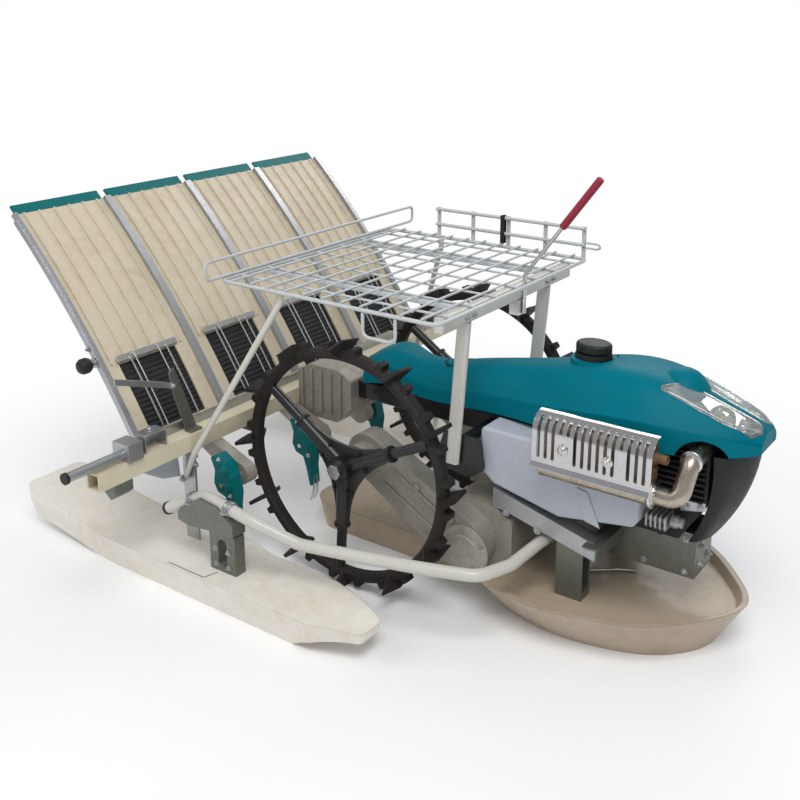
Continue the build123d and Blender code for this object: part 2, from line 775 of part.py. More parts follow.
# Side floats: flat-bottomed skids with raised noses
FLOAT_TOP = 86.0
FLOAT_REAR = -940.0
FLOAT_HEEL = -640.0
HEEL_RISE = 42.0
NOSE_START = 60.0
NOSE_RISE = 50.0
NOSE_R = 330.0
FLOAT_NOSE = 248.0
FLOAT_OUT = 612.0
FLOAT_IN_REAR = 400.0
FLOAT_IN_FRONT = 424.0
FLOAT_STEP_X = -150.0
FLOAT_TAPER = 14.0

with BuildPart() as float_profile:
    with BuildSketch(side(-700)) as profile:
        with BuildLine():
            Polyline(
                (NOSE_START, 0),
                (FLOAT_HEEL, 0),
                (FLOAT_REAR, HEEL_RISE),
                (FLOAT_REAR, FLOAT_TOP + HEEL_RISE),
                (FLOAT_HEEL + 40, FLOAT_TOP),
                (FLOAT_NOSE - 60, FLOAT_TOP),
                (FLOAT_NOSE + 2, FLOAT_TOP - 10),
                (FLOAT_NOSE + 2, NOSE_RISE),
            )
            RadiusArc((FLOAT_NOSE + 2, NOSE_RISE), (NOSE_START, 0), -NOSE_R)
        make_face()
    extrude(profile.sketch, amount=-1400)

with BuildPart() as side_floats:
    for name, sign in SIDES:
        with BuildSketch(level(FLOAT_TOP)) as plan:
            with BuildLine():
                FilletPolyline(
                    (FLOAT_REAR, sign * FLOAT_IN_REAR),
                    (FLOAT_REAR, sign * (FLOAT_OUT - 24)),
                    (-560, sign * FLOAT_OUT),
                    (120, sign * FLOAT_OUT),
                    (FLOAT_NOSE, sign * (FLOAT_OUT - 46)),
                    (FLOAT_NOSE, sign * (FLOAT_IN_FRONT + 62)),
                    (70, sign * (FLOAT_IN_FRONT + 4)),
                    (FLOAT_STEP_X, sign * FLOAT_IN_FRONT),
                    (FLOAT_STEP_X - 90, sign * FLOAT_IN_REAR),
                    radius=26,
                    close=True,
                )
            make_face()
        extrude(plan.sketch, amount=-FLOAT_TOP, taper=FLOAT_TAPER)
        extrude(plan.sketch, amount=HEEL_RISE + 4)
    add(float_profile.part, mode=Mode.INTERSECT)
side_floats.part.label = "side_floats"
export_step(side_floats.part, "parts/side_floats.step")

# Planting beam: the square tube across the rear, with the gearcase in front of it
BEAM_REAR = -402.0
BEAM_FRONT = -358.0
BEAM_LOW = 342.0
BEAM_TOP = 386.0
BEAM_HALF_L = 776.0

with BuildPart() as planting_beam:
    with BuildSketch(side(-BEAM_HALF_L)) as section:
        with Locations(((BEAM_REAR + BEAM_FRONT) / 2, (BEAM_LOW + BEAM_TOP) / 2)):
            Rectangle(BEAM_FRONT - BEAM_REAR, BEAM_TOP - BEAM_LOW)
            Rectangle(
                BEAM_FRONT - BEAM_REAR - 2 * SHEET, BEAM_TOP - BEAM_LOW - 2 * SHEET, mode=Mode.SUBTRACT
            )
    extrude(section.sketch, amount=-2 * BEAM_HALF_L)
planting_beam.part.label = "planting_beam"
export_step(planting_beam.part, "parts/planting_beam.step")

CASE_TOP = 465.0
CASE_LOW = 311.0
CASE_HALF_W = 72.0

with BuildPart() as rear_gearcase:
    with BuildSketch(side(-CASE_HALF_W)) as outline:
        with BuildLine():
            FilletPolyline(
                (BEAM_FRONT, CASE_LOW),
                (BEAM_FRONT, CASE_TOP - 26),
                (BEAM_FRONT + 40, CASE_TOP),
                (SPINE_REAR - 44, CASE_TOP),
                (SPINE_REAR, CASE_TOP - 24),
                (SPINE_REAR, CASE_LOW + 50),
                (SPINE_REAR - 50, CASE_LOW),
                radius=10,
                close=True,
            )
        make_face()
    extrude(outline.sketch, amount=-2 * CASE_HALF_W)
rear_gearcase.part.label = "rear_gearcase"
export_step(rear_gearcase.part, "parts/rear_gearcase.step")

# Feed shafts: stub tubes on the beam's ends, with their blocks
FEED_X = -376.0
FEED_R = 12.0
FEED_IN = 640.0
FEED_OUT = 848.0
FEED_Z = BEAM_TOP + FEED_R + 6
BLOCK_IN = 646.0
BLOCK_OUT = 690.0
BLOCK_L = 58.0
BLOCK_H = 44.0
PLUG_T = 8.0
PLUG_RIM = 2.0

with BuildPart() as feed_ends:
    for name, sign in SIDES:
        with BuildSketch(side(sign * BLOCK_IN)) as block:
            with Locations((FEED_X - 4, BEAM_TOP + BLOCK_H / 2)):
                Rectangle(BLOCK_L, BLOCK_H)
            with Locations((FEED_X, FEED_Z)):
                Circle(FEED_R + SLIDE_GAP, mode=Mode.SUBTRACT)
        extrude(block.sketch, amount=-sign * (BLOCK_OUT - BLOCK_IN))
        with BuildSketch(side(sign * FEED_IN)) as tube:
            with Locations((FEED_X, FEED_Z)):
                Circle(FEED_R)
        extrude(tube.sketch, amount=-sign * (FEED_OUT - FEED_IN))
feed_ends.part.label = "feed_ends"
export_step(feed_ends.part, "parts/feed_ends.step")

# Tray rail: the channel behind the beam in which the seedling table slides
RAIL_HALF_L = 640.0
RAIL_DEPTH = 50.0
RAIL_LOW = 372.0
RAIL_T = 5.0
RAIL_FRONT_TOP = 410.0

with BuildPart() as tray_rail:
    with BuildSketch(side(-RAIL_HALF_L)) as section:
        with BuildLine():
            Polyline(
                (BEAM_REAR, RAIL_LOW),
                (BEAM_REAR, RAIL_FRONT_TOP),
                (BEAM_REAR - RAIL_T, RAIL_FRONT_TOP),
                (BEAM_REAR - RAIL_T, RAIL_LOW + RAIL_T),
                (BEAM_REAR - RAIL_DEPTH, RAIL_LOW + RAIL_T),
                (BEAM_REAR - RAIL_DEPTH, RAIL_LOW),
                close=True,
            )
        make_face()
    extrude(section.sketch, amount=-2 * RAIL_HALF_L)
tray_rail.part.label = "tray_rail"
export_step(tray_rail.part, "parts/tray_rail.step")

# Seedling table: a gently curved ribbed tray of four lanes, sliding sideways
TRAY_FOOT = (-428.0, RAIL_LOW + RAIL_T + SLIDE_GAP)
TRAY_HEAD = (-852.0, 913.0)
TRAY_SAG = 22.0
TRAY_T = 5.0
RIB_H = 5.0
RIB_W = 5.0
RIBS_PER_LANE = 6
DIVIDER_H = 12.0
DIVIDER_W = 22.0
FLAP_LENGTH = 30.0
FLAP_T = 7.0
FLAP_GAP = 26.0
WINDOW_LOW = 22.0
WINDOW_HIGH = 212.0
WINDOW_W = 190.0
BELT_SINK = 9.0
LANE_W = ROW_PITCH
TRAY_HALF_W = ROW_COUNT * LANE_W / 2

TRAY_CHORD = sqrt((TRAY_HEAD[0] - TRAY_FOOT[0]) ** 2 + (TRAY_HEAD[1] - TRAY_FOOT[1]) ** 2)
TRAY_R = TRAY_CHORD**2 / (8 * TRAY_SAG) + TRAY_SAG / 2
TRAY_UP = (
    (TRAY_HEAD[0] - TRAY_FOOT[0]) / TRAY_CHORD,
    (TRAY_HEAD[1] - TRAY_FOOT[1]) / TRAY_CHORD,
)
TRAY_OUT = (TRAY_UP[1], -TRAY_UP[0])
TRAY_CENTRE = (
    (TRAY_FOOT[0] + TRAY_HEAD[0]) / 2 - TRAY_OUT[0] * (TRAY_R - TRAY_SAG),
    (TRAY_FOOT[1] + TRAY_HEAD[1]) / 2 - TRAY_OUT[1] * (TRAY_R - TRAY_SAG),
)
FOOT_ANGLE = atan2(TRAY_FOOT[1] - TRAY_CENTRE[1], TRAY_FOOT[0] - TRAY_CENTRE[0])


def tray_point(s, h):
    """Point at distance s up the tray's curve from its foot, and h above its face."""
    a = FOOT_ANGLE + s / TRAY_R
    return (
        TRAY_CENTRE[0] + (TRAY_R + h) * cos(a),
        TRAY_CENTRE[1] + (TRAY_R + h) * sin(a),
    )


def tray_band(s0, s1, h0, h1):
    """Draw the curved strip between two distances and two heights above the face."""
    middle = (s0 + s1) / 2
    with BuildLine() as strip:
        ThreePointArc(tray_point(s0, h0), tray_point(middle, h0), tray_point(s1, h0))
        Line(tray_point(s1, h0), tray_point(s1, h1))
        ThreePointArc(tray_point(s1, h1), tray_point(middle, h1), tray_point(s0, h1))
        Line(tray_point(s0, h1), tray_point(s0, h0))
    make_face(strip.edges())


HEAD_S = TRAY_CHORD * (1 + 8 / 3 * (TRAY_SAG / TRAY_CHORD) ** 2)
RIB_PITCH = (LANE_W - DIVIDER_W) / RIBS_PER_LANE

with BuildPart() as tray_deck:
    with BuildSketch(side(-TRAY_HALF_W)) as sheet:
        tray_band(TRAY_T, HEAD_S, -TRAY_T, 0)
    extrude(sheet.sketch, amount=-2 * TRAY_HALF_W)
    rib_ys = [y + (i - (RIBS_PER_LANE - 1) / 2) * RIB_PITCH for y in ROW_YS for i in range(RIBS_PER_LANE)]
    with BuildSketch(*[side(y + RIB_W / 2) for y in rib_ys]) as ribs:
        tray_band(WINDOW_HIGH + 4, HEAD_S, -1, RIB_H)
    extrude(ribs.sketch, amount=RIB_W)
    with BuildSketch(*[side(y + WINDOW_W / 2) for y in ROW_YS]) as windows:
        tray_band(WINDOW_LOW, WINDOW_HIGH, -TRAY_T - 2, RIB_H)
    extrude(windows.sketch, amount=WINDOW_W, mode=Mode.SUBTRACT)
tray_deck.part.label = "tray_deck"
export_step(tray_deck.part, "parts/tray_deck.step")

with BuildPart() as tray_dividers:
    for i in range(ROW_COUNT + 1):
        y = (i - ROW_COUNT / 2) * LANE_W
        inner = min(TRAY_HALF_W, y + DIVIDER_W / 2)
        outer = max(-TRAY_HALF_W, y - DIVIDER_W / 2)
        with BuildSketch(side(inner)) as divider:
            tray_band(TRAY_T, HEAD_S, 0, DIVIDER_H)
        extrude(divider.sketch, amount=inner - outer)
tray_dividers.part.label = "tray_dividers"
export_step(tray_dividers.part, "parts/tray_dividers.step")

with BuildPart() as tray_flaps:
    with BuildSketch(*[side(y + LANE_W / 2 - FLAP_GAP / 2) for y in ROW_YS]) as flaps:
        tray_band(HEAD_S, HEAD_S + FLAP_LENGTH, -FLAP_T, 0)
    extrude(flaps.sketch, amount=LANE_W - FLAP_GAP)
tray_flaps.part.label = "tray_flaps"
export_step(tray_flaps.part, "parts/tray_flaps.step")

BELT_T = 5.0
BELT_OVERLAP = 16.0

with BuildPart() as feed_belts:
    with BuildSketch(*[side(y + WINDOW_W / 2) for y in ROW_YS]) as belts:
        tray_band(WINDOW_LOW - BELT_OVERLAP, WINDOW_HIGH + BELT_OVERLAP, -TRAY_T - BELT_T, -TRAY_T)
    extrude(belts.sketch, amount=WINDOW_W)
feed_belts.part.label = "feed_belts"
export_step(feed_belts.part, "parts/feed_belts.step")

# Belt guides: a bright bar over each window's top edge, with two rods down to the foot
GUIDE_ROD_R = 2.5
GUIDE_BAR_W = 200.0
GUIDE_SPREAD = 120.0

with BuildPart() as belt_guides:
    with BuildSketch(*[side(y + GUIDE_BAR_W / 2) for y in ROW_YS]) as bars:
        tray_band(WINDOW_HIGH + 4, WINDOW_HIGH + 20, RIB_H, RIB_H + 4)
    extrude(bars.sketch, amount=GUIDE_BAR_W)
    rod_ys = [y + offset for y in ROW_YS for offset in (-GUIDE_SPREAD / 2, GUIDE_SPREAD / 2)]
    with BuildSketch(*[side(y + GUIDE_ROD_R) for y in rod_ys]) as rods:
        tray_band(WINDOW_LOW, WINDOW_HIGH + 8, RIB_H + 1, RIB_H + 6)
    extrude(rods.sketch, amount=2 * GUIDE_ROD_R)
belt_guides.part.label = "belt_guides"
export_step(belt_guides.part, "parts/belt_guides.step")

# Tray supports: two plates behind the table with a cross rail against its back
POST_Y = 262.0
POST_T = 8.0
SUPPORT_S = 430.0
SUPPORT_RAIL_R = 13.0
SUPPORT_HALF_L = 430.0

with BuildPart() as tray_supports:
    rail = tray_point(SUPPORT_S, -TRAY_T - SUPPORT_RAIL_R - SLIDE_GAP)
    for name, sign in SIDES:
        with BuildSketch(side(sign * POST_Y)) as plate:
            with BuildLine():
                Polyline(
                    (BEAM_REAR, BEAM_LOW),
                    (BEAM_FRONT, BEAM_LOW),
                    (BEAM_FRONT, BEAM_LOW - 22),
                    (BEAM_REAR - 40, BEAM_LOW - 22),
                    tray_point(30, -84),
                    tray_point(SUPPORT_S + 16, -TRAY_T - 2.6 * SUPPORT_RAIL_R),
                    tray_point(SUPPORT_S + 16, -TRAY_T - 0.8 * SUPPORT_RAIL_R),
                    tray_point(70, -44),
                    (BEAM_REAR - 56, BEAM_LOW + 4),
                    (BEAM_REAR, BEAM_LOW),
                )
            make_face()
        extrude(plate.sketch, amount=-sign * POST_T)
    with BuildSketch(side(-SUPPORT_HALF_L)) as tube:
        with Locations(rail):
            Circle(SUPPORT_RAIL_R)
    extrude(tube.sketch, amount=-2 * SUPPORT_HALF_L)
tray_supports.part.label = "tray_supports"
export_step(tray_supports.part, "parts/tray_supports.step")

# Float brackets: feet in the pan, and slotted yokes with tube clamps on the side floats
YOKE_IN = 523.0
YOKE_OUT = 557.0
YOKE_REAR = -235.0
YOKE_FRONT = -150.0
CLAMP_IN = 518.0
CLAMP_OUT = 562.0
CLAMP_LOW = 190.0
GUARD_R = 15.0
GUARD_Y = 540.0
GUARD_BEND = 60.0
GUARD_POINTS = (
    (-395.0, GUARD_Y, 195.0), (-262.0, GUARD_Y, 268.0), (-111.0, GUARD_Y, 245.0),
    (0.0, 492.0, 195.0), (188.0, 445.0, 195.0), (303.0, 420.0, 200.0), (430.0, 372.0, 198.0),
    (462.0, 280.0, 194.0), (474.0, 170.0, 204.0), (490.0, 105.0, 215.0), (490.0, 52.0, 215.0),
)
KNUCKLE_R = 22.0
KNUCKLE = GUARD_POINTS[2]


def guard_route(sign):
    """The side guard's points on one side of the machine."""
    return [at(x, sign * y, z) for x, y, z in GUARD_POINTS]


with BuildPart() as float_brackets:
    for name, sign in SIDES:
        with BuildSketch(side(sign * STAY_IN)) as leg:
            with BuildLine():
                Polyline(
                    (FOOT_X - FOOT_HALF_L, PAN_FLOOR),
                    (FOOT_X + FOOT_HALF_L, PAN_FLOOR),
                    (FOOT_X + FOOT_HALF_L, stay_bottom(FOOT_X + FOOT_HALF_L)),
                    (FOOT_X - FOOT_HALF_L, stay_bottom(FOOT_X - FOOT_HALF_L)),
                    close=True,
                )
            make_face()
        extrude(leg.sketch, amount=-sign * (STAY_OUT - STAY_IN))
        with BuildSketch(side(sign * (STAY_IN + FOOT_WALL))) as window:
            with Locations((FOOT_X, (PAN_FLOOR + stay_bottom(FOOT_X)) / 2)):
                Rectangle(4 * FOOT_HALF_L, stay_bottom(FOOT_X) - PAN_FLOOR - 40)
        extrude(
            window.sketch, amount=-sign * (STAY_OUT - STAY_IN - 2 * FOOT_WALL), mode=Mode.SUBTRACT
        )
        with BuildSketch(side(sign * YOKE_IN)) as yoke:
            with BuildLine():
                Polyline(
                    (YOKE_REAR, FLOAT_TOP),
                    (YOKE_FRONT, FLOAT_TOP),
                    (YOKE_FRONT, CLAMP_LOW),
                    (YOKE_REAR, CLAMP_LOW),
                    close=True,
                )
            make_face()
        extrude(yoke.sketch, amount=-sign * (YOKE_OUT - YOKE_IN))
        with BuildSketch(side(sign * YOKE_IN)) as slot:
            with Locations(((YOKE_REAR + YOKE_FRONT) / 2, (FLOAT_TOP + CLAMP_LOW) / 2)):
                SlotOverall(CLAMP_LOW - FLOAT_TOP - 30, 30, rotation=90)
        extrude(slot.sketch, amount=-sign * (YOKE_OUT - YOKE_IN), mode=Mode.SUBTRACT)
        with BuildSketch(side(sign * CLAMP_IN)) as clamp:
            with BuildLine():
                FilletPolyline(
                    (-340, 188),
                    (-340, 214),
                    (-262, 268),
                    (-205, 262),
                    (YOKE_FRONT, 222),
                    (YOKE_FRONT, CLAMP_LOW),
                    (YOKE_REAR, CLAMP_LOW),
                    (-300, 182),
                    radius=6,
                    close=True,
                )
            make_face()
        extrude(clamp.sketch, amount=-sign * (CLAMP_OUT - CLAMP_IN))
        bar(guard_route(sign), GUARD_R + SLIDE_GAP, GUARD_BEND, mode=Mode.SUBTRACT)
float_brackets.part.label = "float_brackets"
export_step(float_brackets.part, "parts/float_brackets.step")

with BuildPart() as side_guards:
    for name, sign in SIDES:
        bar(guard_route(sign), GUARD_R, GUARD_BEND)
side_guards.part.label = "side_guards"
export_step(side_guards.part, "parts/side_guards.step")

with BuildPart() as tube_plugs:
    for name, sign in SIDES:
        end = guard_route(sign)[0]
        inner = guard_route(sign)[1]
        outward = tuple(e - i for e, i in zip(end, inner))
        with BuildSketch(Plane(origin=end, z_dir=outward)) as plug:
            Circle(GUARD_R + PLUG_RIM)
        extrude(plug.sketch, amount=PLUG_T)
        with BuildSketch(side(sign * FEED_OUT)) as plug:
            with Locations((FEED_X, FEED_Z)):
                Circle(FEED_R + PLUG_RIM)
        extrude(plug.sketch, amount=-sign * PLUG_T)
tube_plugs.part.label = "tube_plugs"
export_step(tube_plugs.part, "parts/tube_plugs.step")

FLOAT_POST_IN = 474.0
FLOAT_POST_T = 6.0

with BuildPart() as float_posts:
    for name, sign in SIDES:
        with BuildSketch(side(sign * FLOAT_POST_IN)) as post:
            with Locations(((BEAM_REAR + BEAM_FRONT) / 2, (FLOAT_TOP + BEAM_LOW) / 2)):
                Rectangle(BEAM_FRONT - BEAM_REAR, BEAM_LOW - FLOAT_TOP)
        extrude(post.sketch, amount=-sign * FLOAT_POST_T)
float_posts.part.label = "float_posts"
export_step(float_posts.part, "parts/float_posts.step")

# Rack brackets: plates on a cross tube through the spine's sides
BRACKET_IN = 180.0
BRACKET_T = 6.0
CROSS_X = 258.0
CROSS_Z = 412.0
CROSS_R = 15.0

with BuildPart() as rack_brackets:
    for name, sign in SIDES:
        with BuildSketch(side(sign * BRACKET_IN)) as plate:
            with BuildLine():
                FilletPolyline(
                    (186, 352),
                    (214, 336),
                    (300, 336),
                    (328, 360),
                    (316, 436),
                    (212, 436),
                    radius=14,
                    close=True,
                )
            make_face()
        extrude(plate.sketch, amount=-sign * BRACKET_T)
        with BuildSketch(side(sign * SPINE_HALF_W)) as tube:
            with Locations((CROSS_X, CROSS_Z)):
                Circle(CROSS_R)
        extrude(tube.sketch, amount=-sign * (BRACKET_IN - SPINE_HALF_W))
rack_brackets.part.label = "rack_brackets"
export_step(rack_brackets.part, "parts/rack_brackets.step")

# Seedling rack: a front beam on two legs, rear struts, and a deck of wires
RACK_BEAM_REAR = 262.0
RACK_BEAM_FRONT = 288.0
RACK_BEAM_LOW = 727.0
RACK_BEAM_TOP = 766.0
RACK_BEAM_HALF_L = 308.0
LEG_W = 17.0
LEG_D = 36.0
LEG_Y = BRACKET_IN + BRACKET_T + LEG_W / 2
WIRE_R = 3.0
FRAME_R = 5.0
RACK_REAR = -347.0
RACK_FRONT = 310.0
RACK_HALF_W = 365.0
LONG_WIRES = 7
LONG_PITCH = 100.0
CROSS_WIRES = 11
CROSS_PITCH = 57.0
CROSS_REAR = -300.0
LONG_Z = RACK_BEAM_TOP + WIRE_R
DECK_Z = LONG_Z + 2 * WIRE_R
FRAME_Z = DECK_Z - WIRE_R - FRAME_R
STRUT_R = 8.0
STRUT_X = CROSS_REAR + 2.5 * CROSS_PITCH
STRUT_BEND_Z = 742.0
STRUT_FOOT_Y = FLOAT_POST_IN + FLOAT_POST_T + STRUT_R + SLIDE_GAP
STRUT_KNEE_X = -347.0
STRUT_KNEE_Z = 340.0
STRUT_FOOT_X = -385.0
STRUT_FOOT_Z = 262.0
STRUT_Y = RACK_HALF_W - FRAME_R - STRUT_R - SLIDE_GAP

with BuildPart() as rack_beam:
    with BuildSketch(side(-RACK_BEAM_HALF_L)) as section:
        with Locations(
            ((RACK_BEAM_REAR + RACK_BEAM_FRONT) / 2, (RACK_BEAM_LOW + RACK_BEAM_TOP) / 2)
        ):
            RectangleRounded(RACK_BEAM_FRONT - RACK_BEAM_REAR, RACK_BEAM_TOP - RACK_BEAM_LOW, 5)
    extrude(section.sketch, amount=-2 * RACK_BEAM_HALF_L)
rack_beam.part.label = "rack_beam"
export_step(rack_beam.part, "parts/rack_beam.step")

RAIL_Y = 200.0
DECK_RAIL_W = 26.0
RAIL_H = 12.0

with BuildPart() as rack_rails:
    for name, sign in SIDES:
        with BuildSketch(across(RACK_REAR + FRAME_R)) as section:
            with Locations((sign * RAIL_Y, RACK_BEAM_TOP - RAIL_H / 2)):
                RectangleRounded(DECK_RAIL_W, RAIL_H, 3)
        extrude(section.sketch, amount=RACK_BEAM_REAR - RACK_REAR - FRAME_R)
rack_rails.part.label = "rack_rails"
export_step(rack_rails.part, "parts/rack_rails.step")

with BuildPart() as rack_legs:
    for name, sign in SIDES:
        with BuildSketch(level(RACK_BEAM_LOW)) as leg_top:
            with Locations((272, sign * LEG_Y)):
                SlotOverall(LEG_D, LEG_W)
        with BuildSketch(level(360)) as leg_foot:
            with Locations((243, sign * LEG_Y)):
                SlotOverall(LEG_D, LEG_W)
        loft(sections=[leg_foot.sketch, leg_top.sketch])
        bar(
            [
                at(STRUT_X, sign * STRUT_Y, DECK_Z),
                at(STRUT_X, sign * STRUT_Y, STRUT_BEND_Z),
                at(STRUT_KNEE_X, sign * STRUT_FOOT_Y, STRUT_KNEE_Z),
                at(STRUT_FOOT_X, sign * STRUT_FOOT_Y, STRUT_FOOT_Z),
            ],
            STRUT_R,
            20,
        )
rack_legs.part.label = "rack_legs"
export_step(rack_legs.part, "parts/rack_legs.step")

with BuildPart() as rack_wires_long:
    with BuildSketch(across(RACK_REAR + FRAME_R)) as wires:
        with Locations(*[((i - (LONG_WIRES - 1) / 2) * LONG_PITCH, LONG_Z) for i in range(LONG_WIRES)]):
            Circle(WIRE_R)
    extrude(wires.sketch, amount=RACK_FRONT - RACK_REAR - 2 * FRAME_R)
rack_wires_long.part.label = "rack_wires_long"
export_step(rack_wires_long.part, "parts/rack_wires_long.step")

with BuildPart() as rack_wires_cross:
    with BuildSketch(side(-RACK_HALF_W - WIRE_R)) as wires:
        with Locations(*[(CROSS_REAR + i * CROSS_PITCH, DECK_Z) for i in range(CROSS_WIRES)]):
            Circle(WIRE_R)
    extrude(wires.sketch, amount=-2 * (RACK_HALF_W + WIRE_R))
rack_wires_cross.part.label = "rack_wires_cross"
export_step(rack_wires_cross.part, "parts/rack_wires_cross.step")


def loop(points, radius, bend):
    """Sweep a round bar round a closed loop of points with bent corners."""
    with BuildLine() as route:
        FilletPolyline(*points, radius=bend, close=True)
    path = route.line
    with BuildSketch(Plane(origin=path @ 0, z_dir=path % 0)) as section:
        Circle(radius)
    sweep(sections=section.sketch, path=path)


with BuildPart() as rack_frame:
    loop(
        [
            at(RACK_REAR, -RACK_HALF_W, FRAME_Z),
            at(RACK_FRONT, -RACK_HALF_W, FRAME_Z),
            at(RACK_FRONT, RACK_HALF_W, FRAME_Z),
            at(RACK_REAR, RACK_HALF_W, FRAME_Z),
        ],
        FRAME_R,
        24,
    )
rack_frame.part.label = "rack_frame"
export_step(rack_frame.part, "parts/rack_frame.step")

# Rack guards: the low fence along the left, the loop across the rear, and the right loop
FENCE_R = 5.0
FENCE_REAR = -184.0
FENCE_FRONT = 300.0
FENCE_POSTS = 5
FENCE_POST_W = 11.0
FENCE_POST_T = 4.0
FENCE_LOW = 805.0
FENCE_HIGH = 850.0
FRAME_TOP = FRAME_Z + FRAME_R
REAR_LOOP_R = 4.0
LOOP_REAR = 104.0
LOOP_FRONT = 196.0
LOOP_LOW = 704.0

with BuildPart() as rack_guards:
    for z in (FENCE_LOW, FENCE_HIGH):
        with BuildSketch(across(FENCE_REAR)) as rail:
            with Locations((RACK_HALF_W + 1, z)):
                Circle(FENCE_R)
        extrude(rail.sketch, amount=FENCE_FRONT - FENCE_REAR)
    fence_pitch = (FENCE_FRONT - FENCE_REAR - FENCE_POST_W) / (FENCE_POSTS - 1)
    with BuildSketch(side(RACK_HALF_W + FRAME_R + SLIDE_GAP + FENCE_POST_T)) as posts:
        for i in range(FENCE_POSTS):
            with Locations(
                (FENCE_REAR + FENCE_POST_W / 2 + i * fence_pitch, (FRAME_Z + FENCE_HIGH) / 2)
            ):
                Rectangle(FENCE_POST_W, FENCE_HIGH - FRAME_Z + 2 * FENCE_R)
    extrude(posts.sketch, amount=FENCE_POST_T)
    loop(
        [
            at(RACK_REAR, -417, FRAME_TOP + REAR_LOOP_R),
            at(RACK_REAR, 470, FRAME_TOP + REAR_LOOP_R),
            at(RACK_REAR, 470, 822),
            at(RACK_REAR, -417, 822),
        ],
        REAR_LOOP_R,
        14,
    )
    bar(
        [
            at(LOOP_REAR, -RACK_HALF_W, FRAME_Z - FRAME_R),
            at(LOOP_REAR, -RACK_HALF_W, LOOP_LOW),
            at(LOOP_FRONT, -RACK_HALF_W, LOOP_LOW),
            at(LOOP_FRONT, -RACK_HALF_W, FRAME_Z - FRAME_R),
        ],
        REAR_LOOP_R,
        16,
    )
rack_guards.part.label = "rack_guards"
export_step(rack_guards.part, "parts/rack_guards.step")

# Control lever: a bent rod at the rack's front beam, with a red grip
LEVER_Y = 50.0
LEVER_R = 5.0
LEVER_X = RACK_BEAM_FRONT + LEVER_R + SLIDE_GAP
LEVER_FOOT_Z = 690.0
LEVER_BEND_Z = 790.0
LEVER_KNEE = (391.0, 921.0)
LEVER_GRIP_L = 160.0
GRIP_R = 9.5

with BuildPart() as lever_rod:
    bar(
        [
            at(LEVER_X, LEVER_Y, LEVER_FOOT_Z),
            at(LEVER_X, LEVER_Y, LEVER_BEND_Z),
            at(LEVER_KNEE[0], LEVER_Y, LEVER_KNEE[1]),
        ],
        LEVER_R,
        16,
    )
    with BuildSketch(level(RACK_BEAM_LOW)) as pivot:
        with Locations(((RACK_BEAM_REAR + RACK_BEAM_FRONT) / 2, LEVER_Y)):
            Rectangle(26, 40)
    extrude(pivot.sketch, amount=-40)
lever_rod.part.label = "lever_rod"
export_step(lever_rod.part, "parts/lever_rod.step")

with BuildPart() as lever_grip:
    rise = (LEVER_KNEE[0] - LEVER_X, 0, LEVER_KNEE[1] - LEVER_BEND_Z)
    with BuildSketch(Plane(origin=at(LEVER_KNEE[0], LEVER_Y, LEVER_KNEE[1]), z_dir=rise)) as grip:
        Circle(GRIP_R)
    extrude(grip.sketch, amount=LEVER_GRIP_L)
    fillet(lever_grip.edges(), 4)
lever_grip.part.label = "lever_grip"
export_step(lever_grip.part, "parts/lever_grip.step")

# Planting units: cases below the beam, cranks in them, and arms on the cranks' pins
CRANK_X = -263.0
CRANK_Z = 275.0
CRANK_R = 20.0
CRANK_ANGLE = 225.0
UNIT_R = 28.0
UNIT_IN = 70.0
UNIT_OUT = 36.0
SHAFT_R = 8.0
SHAFT_IN = 66.0
WEB_IN = 31.0
WEB_OUT = 23.0
WEB_R = 15.0
WEB_TIP_R = 12.0
PIN_R = 6.0
ARM_HALF_W = 17.0
PIN_OUT = 20.0
PIN_POINT = (
    CRANK_X + CRANK_R * cos(radians(CRANK_ANGLE)),
    CRANK_Z + CRANK_R * sin(radians(CRANK_ANGLE)),
)
ARM_OUTLINE = (
    (-312.0, 330.0), (-292.0, 342.0), (-264.0, 326.0), (-243.0, 290.0), (-234.0, 246.0),
    (-240.0, 204.0), (-237.0, 150.0), (-244.0, 150.0), (-256.0, 202.0), (-266.0, 232.0),
    (-292.0, 240.0), (-304.0, 262.0), (-299.0, 298.0),
)


def inward(y, distance):
    """Width at a distance from a row's middle towards the machine's middle."""
    return y - distance if y > 0 else y + distance


with BuildPart() as planting_cases:
    for y in ROW_YS:
        sign = 1 if y > 0 else -1
        with BuildSketch(side(inward(y, UNIT_IN))) as unit:
            with Locations((CRANK_X, CRANK_Z)):
                Circle(UNIT_R)
            with Locations(((BEAM_REAR + BEAM_FRONT) / 2, BEAM_LOW - 12)):
                Rectangle(BEAM_FRONT - BEAM_REAR, 24)
            make_hull()
        extrude(unit.sketch, amount=-sign * (UNIT_IN - UNIT_OUT))
        with BuildSketch(side(inward(y, UNIT_OUT))) as bore:
            with Locations((CRANK_X, CRANK_Z)):
                Circle(SHAFT_R + SLIDE_GAP)
        extrude(bore.sketch, amount=sign * (SHAFT_IN - UNIT_OUT + SLIDE_GAP), mode=Mode.SUBTRACT)
planting_cases.part.label = "planting_cases"
export_step(planting_cases.part, "parts/planting_cases.step")

